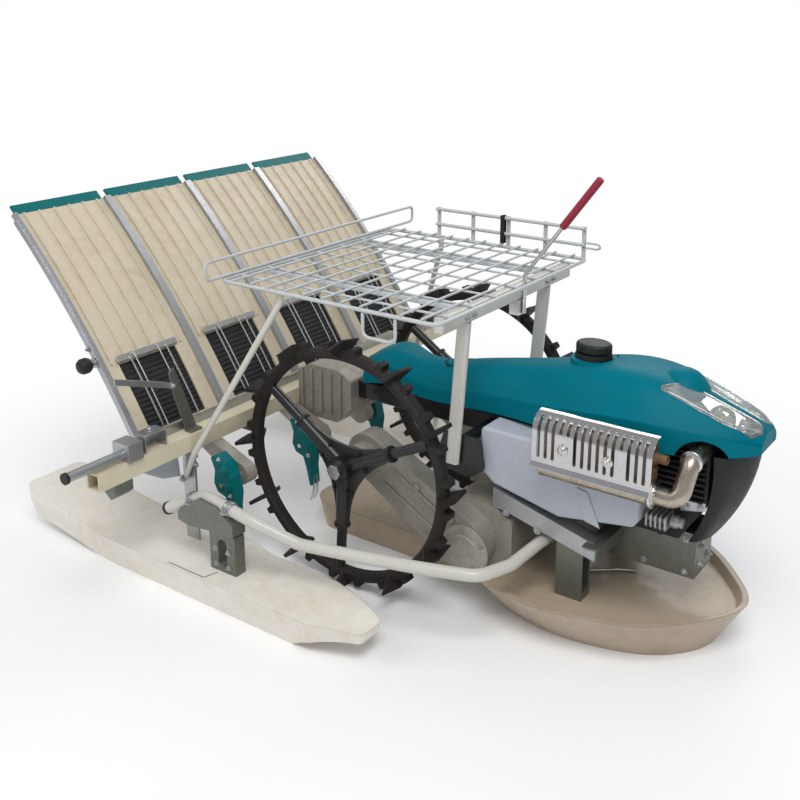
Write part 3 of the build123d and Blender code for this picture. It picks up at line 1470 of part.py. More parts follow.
for i, y in enumerate(ROW_YS):
    sign = 1 if y > 0 else -1
    with BuildPart() as crank:
        with BuildSketch(side(inward(y, SHAFT_IN))) as shaft:
            with Locations((CRANK_X, CRANK_Z)):
                Circle(SHAFT_R)
        extrude(shaft.sketch, amount=-sign * (SHAFT_IN - WEB_OUT))
        with BuildSketch(side(inward(y, WEB_IN))) as web:
            with Locations((CRANK_X, CRANK_Z)):
                Circle(WEB_R)
            with Locations(PIN_POINT):
                Circle(WEB_TIP_R)
            make_hull()
        extrude(web.sketch, amount=-sign * (WEB_IN - WEB_OUT))
        with BuildSketch(side(inward(y, WEB_IN))) as pin:
            with Locations(PIN_POINT):
                Circle(PIN_R)
        extrude(pin.sketch, amount=-sign * (WEB_IN + PIN_OUT))
    crank.part.label = f"crank_{i + 1}"
    export_step(crank.part, f"parts/crank_{i + 1}.step")

    with BuildPart() as planting_arm:
        with BuildSketch(side(y + ARM_HALF_W)) as outline:
            with BuildLine():
                FilletPolyline(*ARM_OUTLINE, radius=3, close=True)
            make_face()
            with Locations(PIN_POINT):
                Circle(PIN_R + SLIDE_GAP, mode=Mode.SUBTRACT)
        extrude(outline.sketch, amount=2 * ARM_HALF_W)
    planting_arm.part.label = f"planting_arm_{i + 1}"
    export_step(planting_arm.part, f"parts/planting_arm_{i + 1}.step")

# Handles: two bent tubes from the rear gearcase back under the seedling table
HANDLE_R = 14.0
HANDLE_END = -1197.0
HANDLE_Z = 738.0
HANDLE_Y = 250.0
HANDLE_POINTS = (
    (BEAM_FRONT, 55.0, 327.0), (-480.0, 55.0, 327.0), (-640.0, 160.0, 425.0),
    (-1010.0, HANDLE_Y, HANDLE_Z), (HANDLE_END, HANDLE_Y, HANDLE_Z),
)
GRIP_OUT_R = 18.0
GRIP_LENGTH = 130.0
GRIP_END = 3.0

with BuildPart() as handles:
    for name, sign in SIDES:
        bar([at(x, sign * y, z) for x, y, z in HANDLE_POINTS], HANDLE_R, 50)
handles.part.label = "handles"
export_step(handles.part, "parts/handles.step")

with BuildPart() as handle_grips:
    with BuildSketch(across(HANDLE_END - GRIP_END)) as grips:
        with Locations((-HANDLE_Y, HANDLE_Z), (HANDLE_Y, HANDLE_Z)):
            Circle(GRIP_OUT_R)
    extrude(grips.sketch, amount=GRIP_LENGTH)
    with BuildSketch(across(HANDLE_END)) as bores:
        with Locations((-HANDLE_Y, HANDLE_Z), (HANDLE_Y, HANDLE_Z)):
            Circle(HANDLE_R + SLIDE_GAP)
    extrude(bores.sketch, amount=GRIP_LENGTH, mode=Mode.SUBTRACT)
handle_grips.part.label = "handle_grips"
export_step(handle_grips.part, "parts/handle_grips.step")
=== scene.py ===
"""Looks of a walk-behind rice transplanter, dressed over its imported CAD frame.

Everything is in metres in the CAD frame: X forward, Y to the machine's left, Z up,
with the origin on the ground. Stations written in millimetres are taken from the wheel
axle, as in the CAD source, and pass through `mm` once.
"""
import logging
import math
from dataclasses import dataclass
from enum import Enum
from typing import Sequence

import bmesh
import bpy
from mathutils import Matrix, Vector
from mathutils.bvhtree import BVHTree


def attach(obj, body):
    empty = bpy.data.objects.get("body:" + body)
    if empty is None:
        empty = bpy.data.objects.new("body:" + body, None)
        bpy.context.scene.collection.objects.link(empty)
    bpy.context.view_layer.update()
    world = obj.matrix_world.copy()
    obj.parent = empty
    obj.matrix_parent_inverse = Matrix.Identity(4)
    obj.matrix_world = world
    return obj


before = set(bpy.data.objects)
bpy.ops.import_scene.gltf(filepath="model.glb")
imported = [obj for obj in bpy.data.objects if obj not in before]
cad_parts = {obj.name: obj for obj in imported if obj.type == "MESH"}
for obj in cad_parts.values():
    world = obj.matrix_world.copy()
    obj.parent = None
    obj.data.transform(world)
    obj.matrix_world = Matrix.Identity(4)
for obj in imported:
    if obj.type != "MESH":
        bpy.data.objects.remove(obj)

LOG = logging.getLogger("scene")
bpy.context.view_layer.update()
AXLE_X = 131.0
CHASSIS = "chassis"
TABLE = "seedling_table"
ROW_YS = (-450, -150, 150, 450)
SIDES = (("right", -1), ("left", 1))

Pair = tuple[float, float]
Point = tuple[float, float, float]
Line = tuple[Pair, ...]
Box = tuple[Point, Point]


def mm(x: float, y: float, z: float) -> Vector:
    """Turn a station from the wheel axle into scene metres.

    Args:
        x: millimetres ahead of the axle.
        y: millimetres to the left.
        z: millimetres above the ground.

    Returns:
        The point in metres.
    """
    return Vector(((AXLE_X + x) / 1000, y / 1000, z / 1000))


# Materials
def srgb(code: str) -> tuple[float, float, float, float]:
    """Convert a hex sRGB colour to linear RGBA.

    Args:
        code: six hex digits.

    Returns:
        Linear red, green, blue and an alpha of one.
    """
    channels = (int(code[i : i + 2], 16) / 255 for i in (0, 2, 4))
    linear = [c / 12.92 if c <= 0.04045 else ((c + 0.055) / 1.055) ** 2.4 for c in channels]
    return (linear[0], linear[1], linear[2], 1.0)


class Grain(Enum):
    """The fine surface pattern of a material."""

    SMOOTH = "smooth"
    ORANGE_PEEL = "orange_peel"
    CAST = "cast"
    BRUSHED = "brushed"
    SPANGLE = "spangle"
    RIBBED = "ribbed"


@dataclass(frozen=True)
class Finish:
    """One real material and the sizes of what shows on it.

    Attributes:
        name: the real material's name.
        colour: hex sRGB of the clean surface.
        worn: hex sRGB of the dusty or rubbed surface.
        rough: mean roughness.
        metal: metallic amount.
        coat: clear coat weight.
        grain: fine pattern.
        grain_mm: size of one grain.
        bump_mm: height of the grain.
        blotch_mm: size of the colour variation.
        wear: share of the surface that shows the worn colour.
        edge_mm: radius that edges are softened by.
        clear: transmission amount.
        gloss: how strongly the bare surface mirrors its surround.
    """

    name: str
    colour: str
    worn: str
    rough: float
    metal: float = 0.0
    coat: float = 0.0
    grain: Grain = Grain.SMOOTH
    grain_mm: float = 1.0
    bump_mm: float = 0.02
    blotch_mm: float = 120.0
    wear: float = 0.25
    edge_mm: float = 1.2
    clear: float = 0.0
    gloss: float = 0.35


# Grains under about 3 mm are finer than the photograph's pixels and only soften the light
FINISHES: dict[str, Finish] = {finish.name: finish for finish in (
    # Enamel sprayed on the moulded hood: an even teal with a soft sheen
    Finish("teal_enamel", "006E7E", "04767F", 0.36, gloss=0.05,
           grain=Grain.ORANGE_PEEL, grain_mm=2.5, bump_mm=0.01, wear=0.12, edge_mm=3.0),
    # Enamel on square tube: dusty cream, half dull
    Finish("cream_enamel", "D6CDB2", "B3A684", 0.38, coat=0.15,
           grain=Grain.ORANGE_PEEL, grain_mm=2.0, bump_mm=0.02, wear=0.35, blotch_mm=160),
    # Enamel on bent round tube: off-white with thin lines of light
    Finish("white_enamel", "C9C7BE", "B0AA99", 0.3, coat=0.25,
           grain=Grain.ORANGE_PEEL, grain_mm=1.5, bump_mm=0.01, wear=0.2, blotch_mm=90),
    # Enamel on pressed and welded steel: near black, half gloss
    Finish("black_enamel", "17181A", "3A3A3A", 0.34, coat=0.3,
           grain=Grain.ORANGE_PEEL, grain_mm=1.6, bump_mm=0.03, wear=0.22, blotch_mm=60),
    # Moulded ABS: cool pale grey with a fine matt texture
    Finish("grey_plastic", "B4B9C3", "A2A3A2", 0.42,
           grain=Grain.CAST, grain_mm=0.8, bump_mm=0.03, wear=0.3, blotch_mm=110, edge_mm=2.5),
    # Blow-moulded polyethylene: warm white and waxy, with mud stains
    Finish("float_plastic", "EAE5DB", "CDBB98", 0.36, coat=0.1,
           grain=Grain.CAST, grain_mm=3.0, bump_mm=0.06, wear=0.38, blotch_mm=210, edge_mm=5.0),
    # The same plastic on the front pan: tan from dried mud, and darkened all over as painted shade
    Finish("pan_mud_and_painted_shade", "B4A48F", "8E7C64", 0.36, coat=0.1,
           grain=Grain.CAST, grain_mm=3.0, bump_mm=0.06, wear=0.38, blotch_mm=210, edge_mm=5.0),
    # Moulded polypropylene: matt black
    Finish("black_plastic", "1B1C1D", "37383A", 0.46,
           grain=Grain.CAST, grain_mm=0.7, bump_mm=0.04, wear=0.2, blotch_mm=50),
    # Moulded rubber on the wheel's ring: dull black dusted brown
    Finish("lug_rubber", "1D1917", "3A322D", 0.62,
           grain=Grain.CAST, grain_mm=1.8, bump_mm=0.12, wear=0.45, blotch_mm=55, edge_mm=2.0),
    # Ribbed rubber belt: black bars with grey dust between them
    Finish("belt_rubber", "1D1E20", "3D3B38", 0.55,
           grain=Grain.RIBBED, grain_mm=9.0, bump_mm=1.6, wear=0.35, blotch_mm=40),
    # Moulded rubber: black and fully matt
    Finish("grip_rubber", "151516", "2E2E2E", 0.6,
           grain=Grain.CAST, grain_mm=1.2, bump_mm=0.1, wear=0.2, blotch_mm=30),
    # Dipped vinyl: dull red
    Finish("red_grip", "94263A", "6E1C28", 0.4,
           grain=Grain.CAST, grain_mm=1.0, bump_mm=0.06, wear=0.25, blotch_mm=25),
    # Die-cast aluminium: bright grey with a sandy skin
    Finish("cast_alloy", "AEAFAE", "7C7A75", 0.4, metal=0.85,
           grain=Grain.CAST, grain_mm=1.4, bump_mm=0.12, wear=0.4, blotch_mm=45, edge_mm=2.0),
    # Zinc-plated steel: pale, its crystals drawn coarser than the real ones so that they show
    Finish("zinc_plate", "B2B4B6", "8E8C84", 0.32, metal=0.9,
           grain=Grain.SPANGLE, grain_mm=6.0, bump_mm=0.01, wear=0.3, blotch_mm=35),
    # Drawn and polished steel: bright, with streaks along it
    Finish("polished_steel", "D6D5D1", "A7A49D", 0.2, metal=1.0,
           grain=Grain.BRUSHED, grain_mm=0.6, bump_mm=0.01, wear=0.25, blotch_mm=40),
    # Steel dulled by heat: straw to brown over silver
    Finish("heated_steel", "B9B0A2", "7D6A55", 0.3, metal=1.0,
           grain=Grain.CAST, grain_mm=1.2, bump_mm=0.04, wear=0.45, blotch_mm=40),
    # Chrome-plated pressing: near mirror with faint scratches
    Finish("chrome_plate", "C4C3C4", "A19A90", 0.12, metal=1.0,
           grain=Grain.BRUSHED, grain_mm=0.8, bump_mm=0.006, wear=0.25, blotch_mm=50),
    # Sand-cast iron: dark and rough
    Finish("dark_iron", "2A2A2C", "55514B", 0.5, metal=0.5,
           grain=Grain.CAST, grain_mm=1.6, bump_mm=0.15, wear=0.4, blotch_mm=40),
    # Clear polycarbonate: see-through with sharp highlights
    Finish("lens_plastic", "E9F1F0", "DDE6E4", 0.06, coat=0.6,
           bump_mm=0.004, wear=0.1, blotch_mm=60, clear=0.85),
    # Enamel on welded wire: light grey, rubbed in places
    Finish("rack_enamel", "BFC3C4", "A09E96", 0.34, coat=0.2,
           grain=Grain.ORANGE_PEEL, grain_mm=1.5, bump_mm=0.01, wear=0.3, blotch_mm=70),
    # Metallised plastic: a warm mirror
    Finish("lamp_mirror", "E6E2DA", "B8AC98", 0.14, metal=1.0,
           grain=Grain.BRUSHED, grain_mm=3.0, bump_mm=0.02, wear=0.35, blotch_mm=22),
    # Blown glass: warm and partly clear
    Finish("bulb_glass", "F3E2B6", "D8B878", 0.1, coat=0.6, wear=0.3, blotch_mm=12, clear=0.35),
    # Sand-cast aluminium under dust: warm mid grey with a rough skin
    Finish("pale_alloy", "A39E94", "726C61", 0.48, metal=0.35,
           grain=Grain.CAST, grain_mm=1.6, bump_mm=0.14, wear=0.45, blotch_mm=60, edge_mm=2.5),
    # Olive passivated zinc: dull grey green, its crystals also drawn coarse
    Finish("olive_zinc", "7B7E76", "5D604F", 0.4, metal=0.7,
           grain=Grain.SPANGLE, grain_mm=5.0, bump_mm=0.015, wear=0.45, blotch_mm=40),
    # Bare steel on the hot end of the muffler: patchy rust
    Finish("rusty_steel", "8A6A52", "4F3628", 0.55, metal=0.6,
           grain=Grain.CAST, grain_mm=1.0, bump_mm=0.06, wear=0.6, blotch_mm=22),
    # Enamel on the cast arms and the pressed flaps: a deeper teal
    Finish("arm_teal", "03686A", "147672", 0.38, gloss=0.14,
           grain=Grain.ORANGE_PEEL, grain_mm=2.0, bump_mm=0.05, wear=0.2, blotch_mm=30),
    # Enamel on the pressed deck: warm cream with soft blotches
    Finish("tray_enamel", "D0C4AC", "AE9F80", 0.42, coat=0.1,
           grain=Grain.ORANGE_PEEL, grain_mm=2.0, bump_mm=0.02, wear=0.4, blotch_mm=140),
)}


def add_node(
    tree: bpy.types.NodeTree, kind: str, inputs: dict | None = None, **settings: object
) -> bpy.types.Node:
    """Add one shader node with its settings and unlinked inputs.

    Args:
        tree: the material's node tree.
        kind: the node's type name.
        inputs: values, or sockets to link, by input name or index.
        settings: attributes of the node itself.

    Returns:
        The new node.
    """
    node = tree.nodes.new(kind)
    for name, value in settings.items():
        setattr(node, name, value)
    for name, value in (inputs or {}).items():
        socket = node.inputs[name]
        if isinstance(value, bpy.types.NodeSocket):
            tree.links.new(value, socket)
        else:
            socket.default_value = value
    return node


class MaterialShop:
    """Builds each finish's node tree once and hands it out by name."""

    specks_per_blotch = 6
    patch_range: Pair = (0.20, 0.42)
    speck_range: Pair = (0.3, 0.7)
    rough_spread: Pair = (0.8, 1.35)
    coat_rough = 0.06
    streak = 0.06
    # This draws a belt's 9 mm grain as ribs about 11 mm apart
    rib_scale = 1.6 / 6.283

    def __init__(self) -> None:
        """Start with no materials made."""
        self._made: dict[str, bpy.types.Material] = {}

    def get(self, name: str) -> bpy.types.Material:
        """Return the material of a finish, making it the first time.

        Args:
            name: a key of FINISHES.

        Returns:
            The finished material.
        """
        if name not in self._made:
            self._made[name] = self._build(FINISHES[name])
        return self._made[name]

    def _build(self, finish: Finish) -> bpy.types.Material:
        """Make one material's nodes from its finish.

        Args:
            finish: what the surface is.

        Returns:
            The material.
        """
        material = bpy.data.materials.new(finish.name)
        material.use_nodes = True
        tree = material.node_tree
        tree.nodes.clear()
        place = add_node(tree, "ShaderNodeTexCoord").outputs["Object"]
        # A noise texture's scale is its features per metre
        per_metre = 1000 / finish.blotch_mm
        blotch = add_node(tree, "ShaderNodeTexNoise", {
            "Vector": place, "Scale": per_metre, "Detail": 5.0, "Roughness": 0.6,
        }).outputs["Fac"]
        speck = add_node(tree, "ShaderNodeTexNoise", {
            "Vector": place, "Scale": self.specks_per_blotch * 1000 / finish.blotch_mm,
            "Detail": 4.0, "Roughness": 0.7,
        }).outputs["Fac"]
        patch = add_node(tree, "ShaderNodeMath", {0: blotch, 1: speck}, operation="MULTIPLY").outputs[0]
        amount = add_node(tree, "ShaderNodeMapRange", {
            "Value": patch, "From Min": self.patch_range[0], "From Max": self.patch_range[1],
            "To Min": 0.0, "To Max": finish.wear,
        }).outputs["Result"]
        # Sockets 6 and 7 are the mix node's two colours
        colour = add_node(tree, "ShaderNodeMix", {
            "Factor": amount, 6: srgb(finish.colour), 7: srgb(finish.worn),
        }, data_type="RGBA")
        rough = add_node(tree, "ShaderNodeMapRange", {
            "Value": speck, "From Min": self.speck_range[0], "From Max": self.speck_range[1],
            "To Min": finish.rough * self.rough_spread[0],
            "To Max": min(1.0, finish.rough * self.rough_spread[1]),
        }).outputs["Result"]
        soft = add_node(tree, "ShaderNodeBevel", {"Radius": finish.edge_mm / 1000}, samples=4)
        bump = add_node(tree, "ShaderNodeBump", {
            "Height": self._grain(tree, finish, place), "Strength": 1.0,
            "Distance": finish.bump_mm / 1000, "Normal": soft.outputs["Normal"],
        })
        shader = add_node(tree, "ShaderNodeBsdfPrincipled", {
            "Base Color": colour.outputs[2], "Roughness": rough, "Metallic": finish.metal,
            "Coat Weight": finish.coat, "Coat Roughness": self.coat_rough,
            "Normal": bump.outputs["Normal"], "Transmission Weight": finish.clear,
            "Specular IOR Level": finish.gloss,
        })
        add_node(tree, "ShaderNodeOutputMaterial", {"Surface": shader.outputs["BSDF"]})
        return material

    def _grain(
        self, tree: bpy.types.NodeTree, finish: Finish, place: bpy.types.NodeSocket
    ) -> bpy.types.NodeSocket:
        """Make the height of a finish's fine pattern.

        Args:
            tree: the material's node tree.
            finish: what the surface is.
            place: object coordinates in metres.

        Returns:
            The height, from zero to one.
        """
        per_metre = 1000 / finish.grain_mm
        if finish.grain is Grain.SPANGLE:
            cells = add_node(tree, "ShaderNodeTexVoronoi", {"Vector": place, "Scale": per_metre})
            return cells.outputs["Distance"]
        if finish.grain is Grain.RIBBED:
            wave = add_node(tree, "ShaderNodeTexWave", {
                "Vector": place, "Scale": per_metre * self.rib_scale, "Distortion": 0.4, "Detail": 1.0,
            }, bands_direction="Z")
            return wave.outputs["Fac"]
        if finish.grain is Grain.BRUSHED:
            stretch = add_node(tree, "ShaderNodeMapping", {
                "Vector": place, "Scale": (1.0, 1.0, self.streak),
            })
            place = stretch.outputs["Vector"]
        return add_node(tree, "ShaderNodeTexNoise", {
            "Vector": place, "Scale": per_metre, "Detail": 3.0, "Roughness": 0.5,
        }).outputs["Fac"]


SHOP = MaterialShop()

# The finish of each carried-over CAD node, by the start of its name
NODE_FINISH: dict[str, str] = {
    "wheel_ring": "lug_rubber", "wheel_spokes": "black_enamel", "wheel_axle": "polished_steel",
    "swing_cases": "pale_alloy", "main_frame": "black_enamel", "transmission_case": "pale_alloy",
    "engine_bed": "olive_zinc", "engine_block": "dark_iron", "hood": "teal_enamel",
    "headlamps": "lens_plastic", "nose_grille": "black_plastic", "fuel_cap": "black_plastic",
    "side_cover": "grey_plastic", "recoil_starter": "black_plastic", "muffler_body": "heated_steel",
    "muffler_shield": "chrome_plate", "exhaust_elbow": "heated_steel", "front_stays": "zinc_plate",
    # The centre float takes the pan's plastic: tanned by mud, and darkened all over as painted shade
    "float_brackets": "olive_zinc", "centre_float": "pan_mud_and_painted_shade", "side_floats": "float_plastic",
    "planting_beam": "cream_enamel", "rear_gearcase": "pale_alloy", "feed_ends": "zinc_plate",
    "tray_rail": "zinc_plate", "tray_deck": "tray_enamel", "tray_dividers": "zinc_plate",
    "tray_flaps": "arm_teal", "feed_belts": "belt_rubber", "belt_guides": "polished_steel",
    "tray_supports": "black_enamel", "side_guards": "white_enamel", "tube_plugs": "black_plastic",
    "float_posts": "zinc_plate", "rack_brackets": "black_enamel", "rack_beam": "white_enamel",
    "rack_legs": "white_enamel", "rack_wires": "rack_enamel", "rack_frame": "rack_enamel",
    "rack_rails": "rack_enamel", "rack_guards": "rack_enamel", "lever_rod": "polished_steel",
    "lever_grip": "red_grip", "planting_cases": "pale_alloy", "crank": "polished_steel",
    "planting_arm": "arm_teal", "handle_grips": "grip_rubber", "handles": "white_enamel",
}


def dress_nodes() -> None:
    """Give every carried-over CAD node its finish."""
    for name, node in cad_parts.items():
        finish = next(f for start, f in NODE_FINISH.items() if name.startswith(start))
        node.data.materials.clear()
        node.data.materials.append(SHOP.get(finish))


# Shapes
class Shape:
    """Gathers small forms of one material and joins them into one object."""

    bend_steps = 4
    smooth_angle = 34
    bevel_angle = 50
    least_radius = 0.05
    chamfer_share = 0.12

    def __init__(self, name: str, finish: str, body: str = CHASSIS, soften_mm: float = 0.8) -> None:
        """Start an empty shape.

        Args:
            name: the object's name.
            finish: a key of FINISHES.
            body: the CAD body it moves with.
            soften_mm: width of the bevel on its sharp edges.
        """
        self.name = name
        self.finish = finish
        self.body = body
        self.soften_mm = soften_mm
        self.mesh = bmesh.new()

    def skin(self, rings: Sequence[Sequence[Vector]], close_ends: bool = True) -> None:
        """Skin a row of vertex rings.

        Args:
            rings: rings of points in metres, each with the same count.
            close_ends: whether the first and last ring get a cap.
        """
        made = [[self.mesh.verts.new(point) for point in ring] for ring in rings]
        count = len(made[0])
        for low, high in zip(made, made[1:]):
            for i in range(count):
                j = (i + 1) % count
                self.mesh.faces.new((low[i], low[j], high[j], high[i]))
        if close_ends:
            self.mesh.faces.new(list(reversed(made[0])))
            self.mesh.faces.new(made[-1])

    def lathe(self, base: Point, axis: Point, profile: Sequence[Pair], sides: int = 24) -> "Shape":
        """Turn a profile about an axis.

        Args:
            base: where the axis starts, in millimetres.
            axis: its direction.
            profile: pairs of millimetres along the axis and radius.
            sides: facets round the axis.

        Returns:
            This shape.
        """
        way = Vector(axis).normalized()
        first = way.orthogonal().normalized()
        second = way.cross(first).normalized()
        start = mm(*base)
        rings = []
        for along, radius in profile:
            centre = start + way * (along / 1000)
            reach = max(radius, self.least_radius) / 1000
            turns = [2 * math.pi * i / sides for i in range(sides)]
            rings.append([
                centre + first * (reach * math.cos(turn)) + second * (reach * math.sin(turn))
                for turn in turns
            ])
        self.skin(rings)
        return self

    def tube(self, points: Sequence[Point], radius: float, sides: int = 10, bend: float = 8.0) -> "Shape":
        """Sweep a round bar along a bent line.

        Args:
            points: the line's corners, in millimetres.
            radius: the bar's radius.
            sides: facets round the bar.
            bend: how far from each corner the bend starts.

        Returns:
            This shape.
        """
        corners = [mm(*point) for point in points]
        path = [corners[0]]
        for before, corner, after in zip(corners, corners[1:], corners[2:]):
            back = before - corner
            ahead = after - corner
            reach = min(bend / 1000, back.length * 0.45, ahead.length * 0.45)
            enter = corner + back.normalized() * reach
            leave = corner + ahead.normalized() * reach
            for step in range(self.bend_steps + 1):
                t = step / self.bend_steps
                path.append(enter * (1 - t) ** 2 + corner * (2 * t * (1 - t)) + leave * t ** 2)
        path.append(corners[-1])
        side = None
        rings = []
        for i, point in enumerate(path):
            way = (path[min(i + 1, len(path) - 1)] - path[max(i - 1, 0)]).normalized()
            side = way.orthogonal() if side is None else side - way * side.dot(way)
            side = side.normalized()
            other = way.cross(side)
            turns = [2 * math.pi * k / sides for k in range(sides)]
            rings.append([
                point + (side * math.cos(turn) + other * math.sin(turn)) * (radius / 1000) for turn in turns
            ])
        self.skin(rings)
        return self

    def prism(self, outline: Sequence[Point], along: Point) -> "Shape":
        """Push a flat outline through a distance.

        Args:
            outline: the outline's corners, in millimetres.
            along: how far it is pushed, in millimetres.

        Returns:
            This shape.
        """
        push = Vector(along) / 1000
        near = [mm(*point) for point in outline]
        self.skin([near, [point + push for point in near]])
        return self

    def slab(self, low: Point, high: Point) -> "Shape":
        """Add a plate or block between two corners, chamfered like a casting.

        Args:
            low: its lowest corner, in millimetres.
            high: its highest corner.

        Returns:
            This shape.
        """
        sizes = [h - l for l, h in zip(low, high)]
        thin = sizes.index(min(sizes))
        a, b = [i for i in range(3) if i != thin]
        cut = min(sizes[a], sizes[b]) * self.chamfer_share
        flat = [
            (low[a] + cut, low[b]), (high[a] - cut, low[b]), (high[a], low[b] + cut),
            (high[a], high[b] - cut), (high[a] - cut, high[b]), (low[a] + cut, high[b]),
            (low[a], high[b] - cut), (low[a], low[b] + cut),
        ]
        outline = []
        for first, second in flat:
            corner = [0.0, 0.0, 0.0]
            corner[thin], corner[a], corner[b] = low[thin], first, second
            outline.append(tuple(corner))
        push = [0.0, 0.0, 0.0]
        push[thin] = sizes[thin]
        return self.prism(outline, tuple(push))

    def bolt(self, base: Point, axis: Point, across: float = 13.0, head: float = 7.0) -> "Shape":
        """Add a hexagon head on its washer, with the thread's end showing.

        Args:
            base: the seat's centre, in millimetres.
            axis: outwards from the seat.
            across: width across the head's corners.
            head: the head's height.

        Returns:
            This shape.
        """
        washer = across * 0.72
        corner = across * 0.5
        thread = across * 0.24
        self.lathe(base, axis, [(0, washer), (1.6, washer)], 20)
        self.lathe(base, axis, [(1.6, corner), (head * 0.86, corner), (head, across * 0.42)], 6)
        return self.lathe(base, axis, [(head, thread), (head + 3, thread), (head + 3.6, across * 0.2)], 12)

    def done(self) -> bpy.types.Object:
        """Join what was gathered into one object on its body.

        Returns:
            The finished object.
        """
        bmesh.ops.recalc_face_normals(self.mesh, faces=self.mesh.faces)
        data = bpy.data.meshes.new(self.name)
        self.mesh.to_mesh(data)
        self.mesh.free()
        data.materials.append(SHOP.get(self.finish))
        data.shade_smooth()
        data.set_sharp_from_angle(angle=math.radians(self.smooth_angle))
        piece = bpy.data.objects.new(self.name, data)
        bpy.context.scene.collection.objects.link(piece)
        bevel = piece.modifiers.new("soft_edges", "BEVEL")
        bevel.width = self.soften_mm / 1000
        bevel.segments = 2
        bevel.limit_method = "ANGLE"
        bevel.angle_limit = math.radians(self.bevel_angle)
        LOG.info("%s in %s, on %s: %d faces", self.name, self.finish, self.body, len(data.polygons))
        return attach(piece, self.body)


class NodeProbe:
    """Finds where a line from outside first meets a CAD node."""

    above = 1500.0

    def __init__(self, node: str) -> None:
        """Index a node's faces.

        Args:
            node: the CAD node's name.
        """
        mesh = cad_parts[node].data
        corners = [vertex.co.copy() for vertex in mesh.vertices]
        faces = [tuple(polygon.vertices) for polygon in mesh.polygons]
        self.tree = BVHTree.FromPolygons(corners, faces)

    def drop(self, x: float, y: float, fallback: float) -> float:
        """Drop a plumb line on the node.

        Args:
            x: millimetres ahead of the axle.
            y: millimetres to the left.
            fallback: the height used where the line misses.

        Returns:
            The height of the node's top there, in millimetres.
        """
        hit = self.tree.ray_cast(mm(x, y, self.above), Vector((0, 0, -1)))[0]
        return hit.z * 1000 if hit is not None else fallback


# Sub-assemblies
@dataclass(frozen=True)
class HoodTrim:
    """Lamp reflectors, bulbs, lens lips and the dome on the hood's crown.

    Attributes:
        outline: plan of the reflector and lip on the left, a few millimetres inside the
            outline that the CAD source gives the lens.
        bulb: the bulb's plan centre.
        facets: each reflector ring's share of the plan and its depth below the lens.
        steps: corners along each side of the plan.
        ripple: how far every other corner stands up.
        bowl_depth: how far the bulb's bowl lies below the lens.
        lens_top: the height used where a plumb line misses the lens.
        bowl: the profile of the bowl.
        glass: the profile of the bulb.
        tilt: how far the bowl leans ahead and outwards.
        lip: radius of the lens's lip.
        dome_seat: middle of the dome's foot.
        dome: the dome's profile.
    """

    outline: Line = (
        (711.0, 86.0), (764.0, 20.0), (840.0, 15.0), (918.0, 14.0), (928.0, 34.0), (913.0, 56.0),
        (860.0, 72.0), (800.0, 80.0),
    )
    bulb: Pair = (842.0, 42.0)
    facets: Line = ((1.0, 7.0), (0.86, 14.0), (0.7, 20.0), (0.52, 25.0), (0.36, 29.0))
    steps: int = 4
    ripple: float = 1.6
    bowl_depth: float = 34.0
    lens_top: float = 566.0
    bowl: Line = ((0, 15), (2, 20), (10, 25), (20, 28), (20, 26), (10, 22), (4, 8))
    glass: Line = ((0, 5), (6, 7), (12, 8), (17, 6), (20, 2))
    tilt: Pair = (0.35, 0.45)
    lip: float = 1.1
    dome_seat: Point = (738, 0, 592)
    dome: Line = ((0, 64), (18, 58), (34, 49), (47, 37), (56, 22), (60, 8), (60.5, 2))

    def build(self) -> None:
        """Make both lamps and the dome."""
        probe = NodeProbe("headlamps")
        for name, sign in SIDES:
            self._lamp(probe, name, sign)
        hood = Shape("hood_dome", "teal_enamel", soften_mm=2.0)
        hood.lathe(self.dome_seat, (-0.1, 0, 1), self.dome, sides=36)
        hood.done()

    def _edge(self) -> list[Pair]:
        """Return the lens's plan with corners added along each side."""
        edge = []
        for (x0, y0), (x1, y1) in zip(self.outline, self.outline[1:] + self.outline[:1]):
            shares = [step / self.steps for step in range(self.steps)]
            edge += [(x0 + (x1 - x0) * share, y0 + (y1 - y0) * share) for share in shares]
        return edge

    def _lamp(self, probe: NodeProbe, name: str, sign: int) -> None:
        """Make one lamp's faceted reflector, bowl, bulb and lens lip.

        Args:
            probe: finds the lens's height.
            name: the side's name.
            sign: minus one on the right.
        """
        edge = self._edge()
        bx, by = self.bulb
        rings = []
        for share, depth in self.facets:
            ring = []
            for i, (x, y) in enumerate(edge):
                px, py = bx + (x - bx) * share, by + (y - by) * share
                top = probe.drop(px, sign * py, self.lens_top)
                ripple = self.ripple if i % 2 and share < 1 else 0.0
                ring.append(mm(px, sign * py, top - depth + ripple))
            rings.append(ring)
        mirror = Shape(f"lamp_reflector_{name}", "lamp_mirror", soften_mm=0.4)
        mirror.skin(rings, close_ends=False)
        seat = probe.drop(bx, sign * by, self.lens_top) - self.bowl_depth
        tilt = (self.tilt[0], self.tilt[1] * sign, 1.0)
        mirror.lathe((bx, sign * by, seat), tilt, self.bowl, sides=28)
        mirror.done()
        bulb = Shape(f"lamp_bulb_{name}", "bulb_glass", soften_mm=0.3)
        bulb.lathe((bx, sign * by, seat + 3), tilt, self.glass, sides=18)
        bulb.done()
        lip = Shape(f"lens_lip_{name}", "polished_steel", soften_mm=0.2)
        loop = [(x, sign * y, probe.drop(x, sign * y, self.lens_top) + 0.2) for x, y in edge]
        lip.tube(loop + [loop[0]], self.lip, sides=6, bend=2.0)
        lip.done()


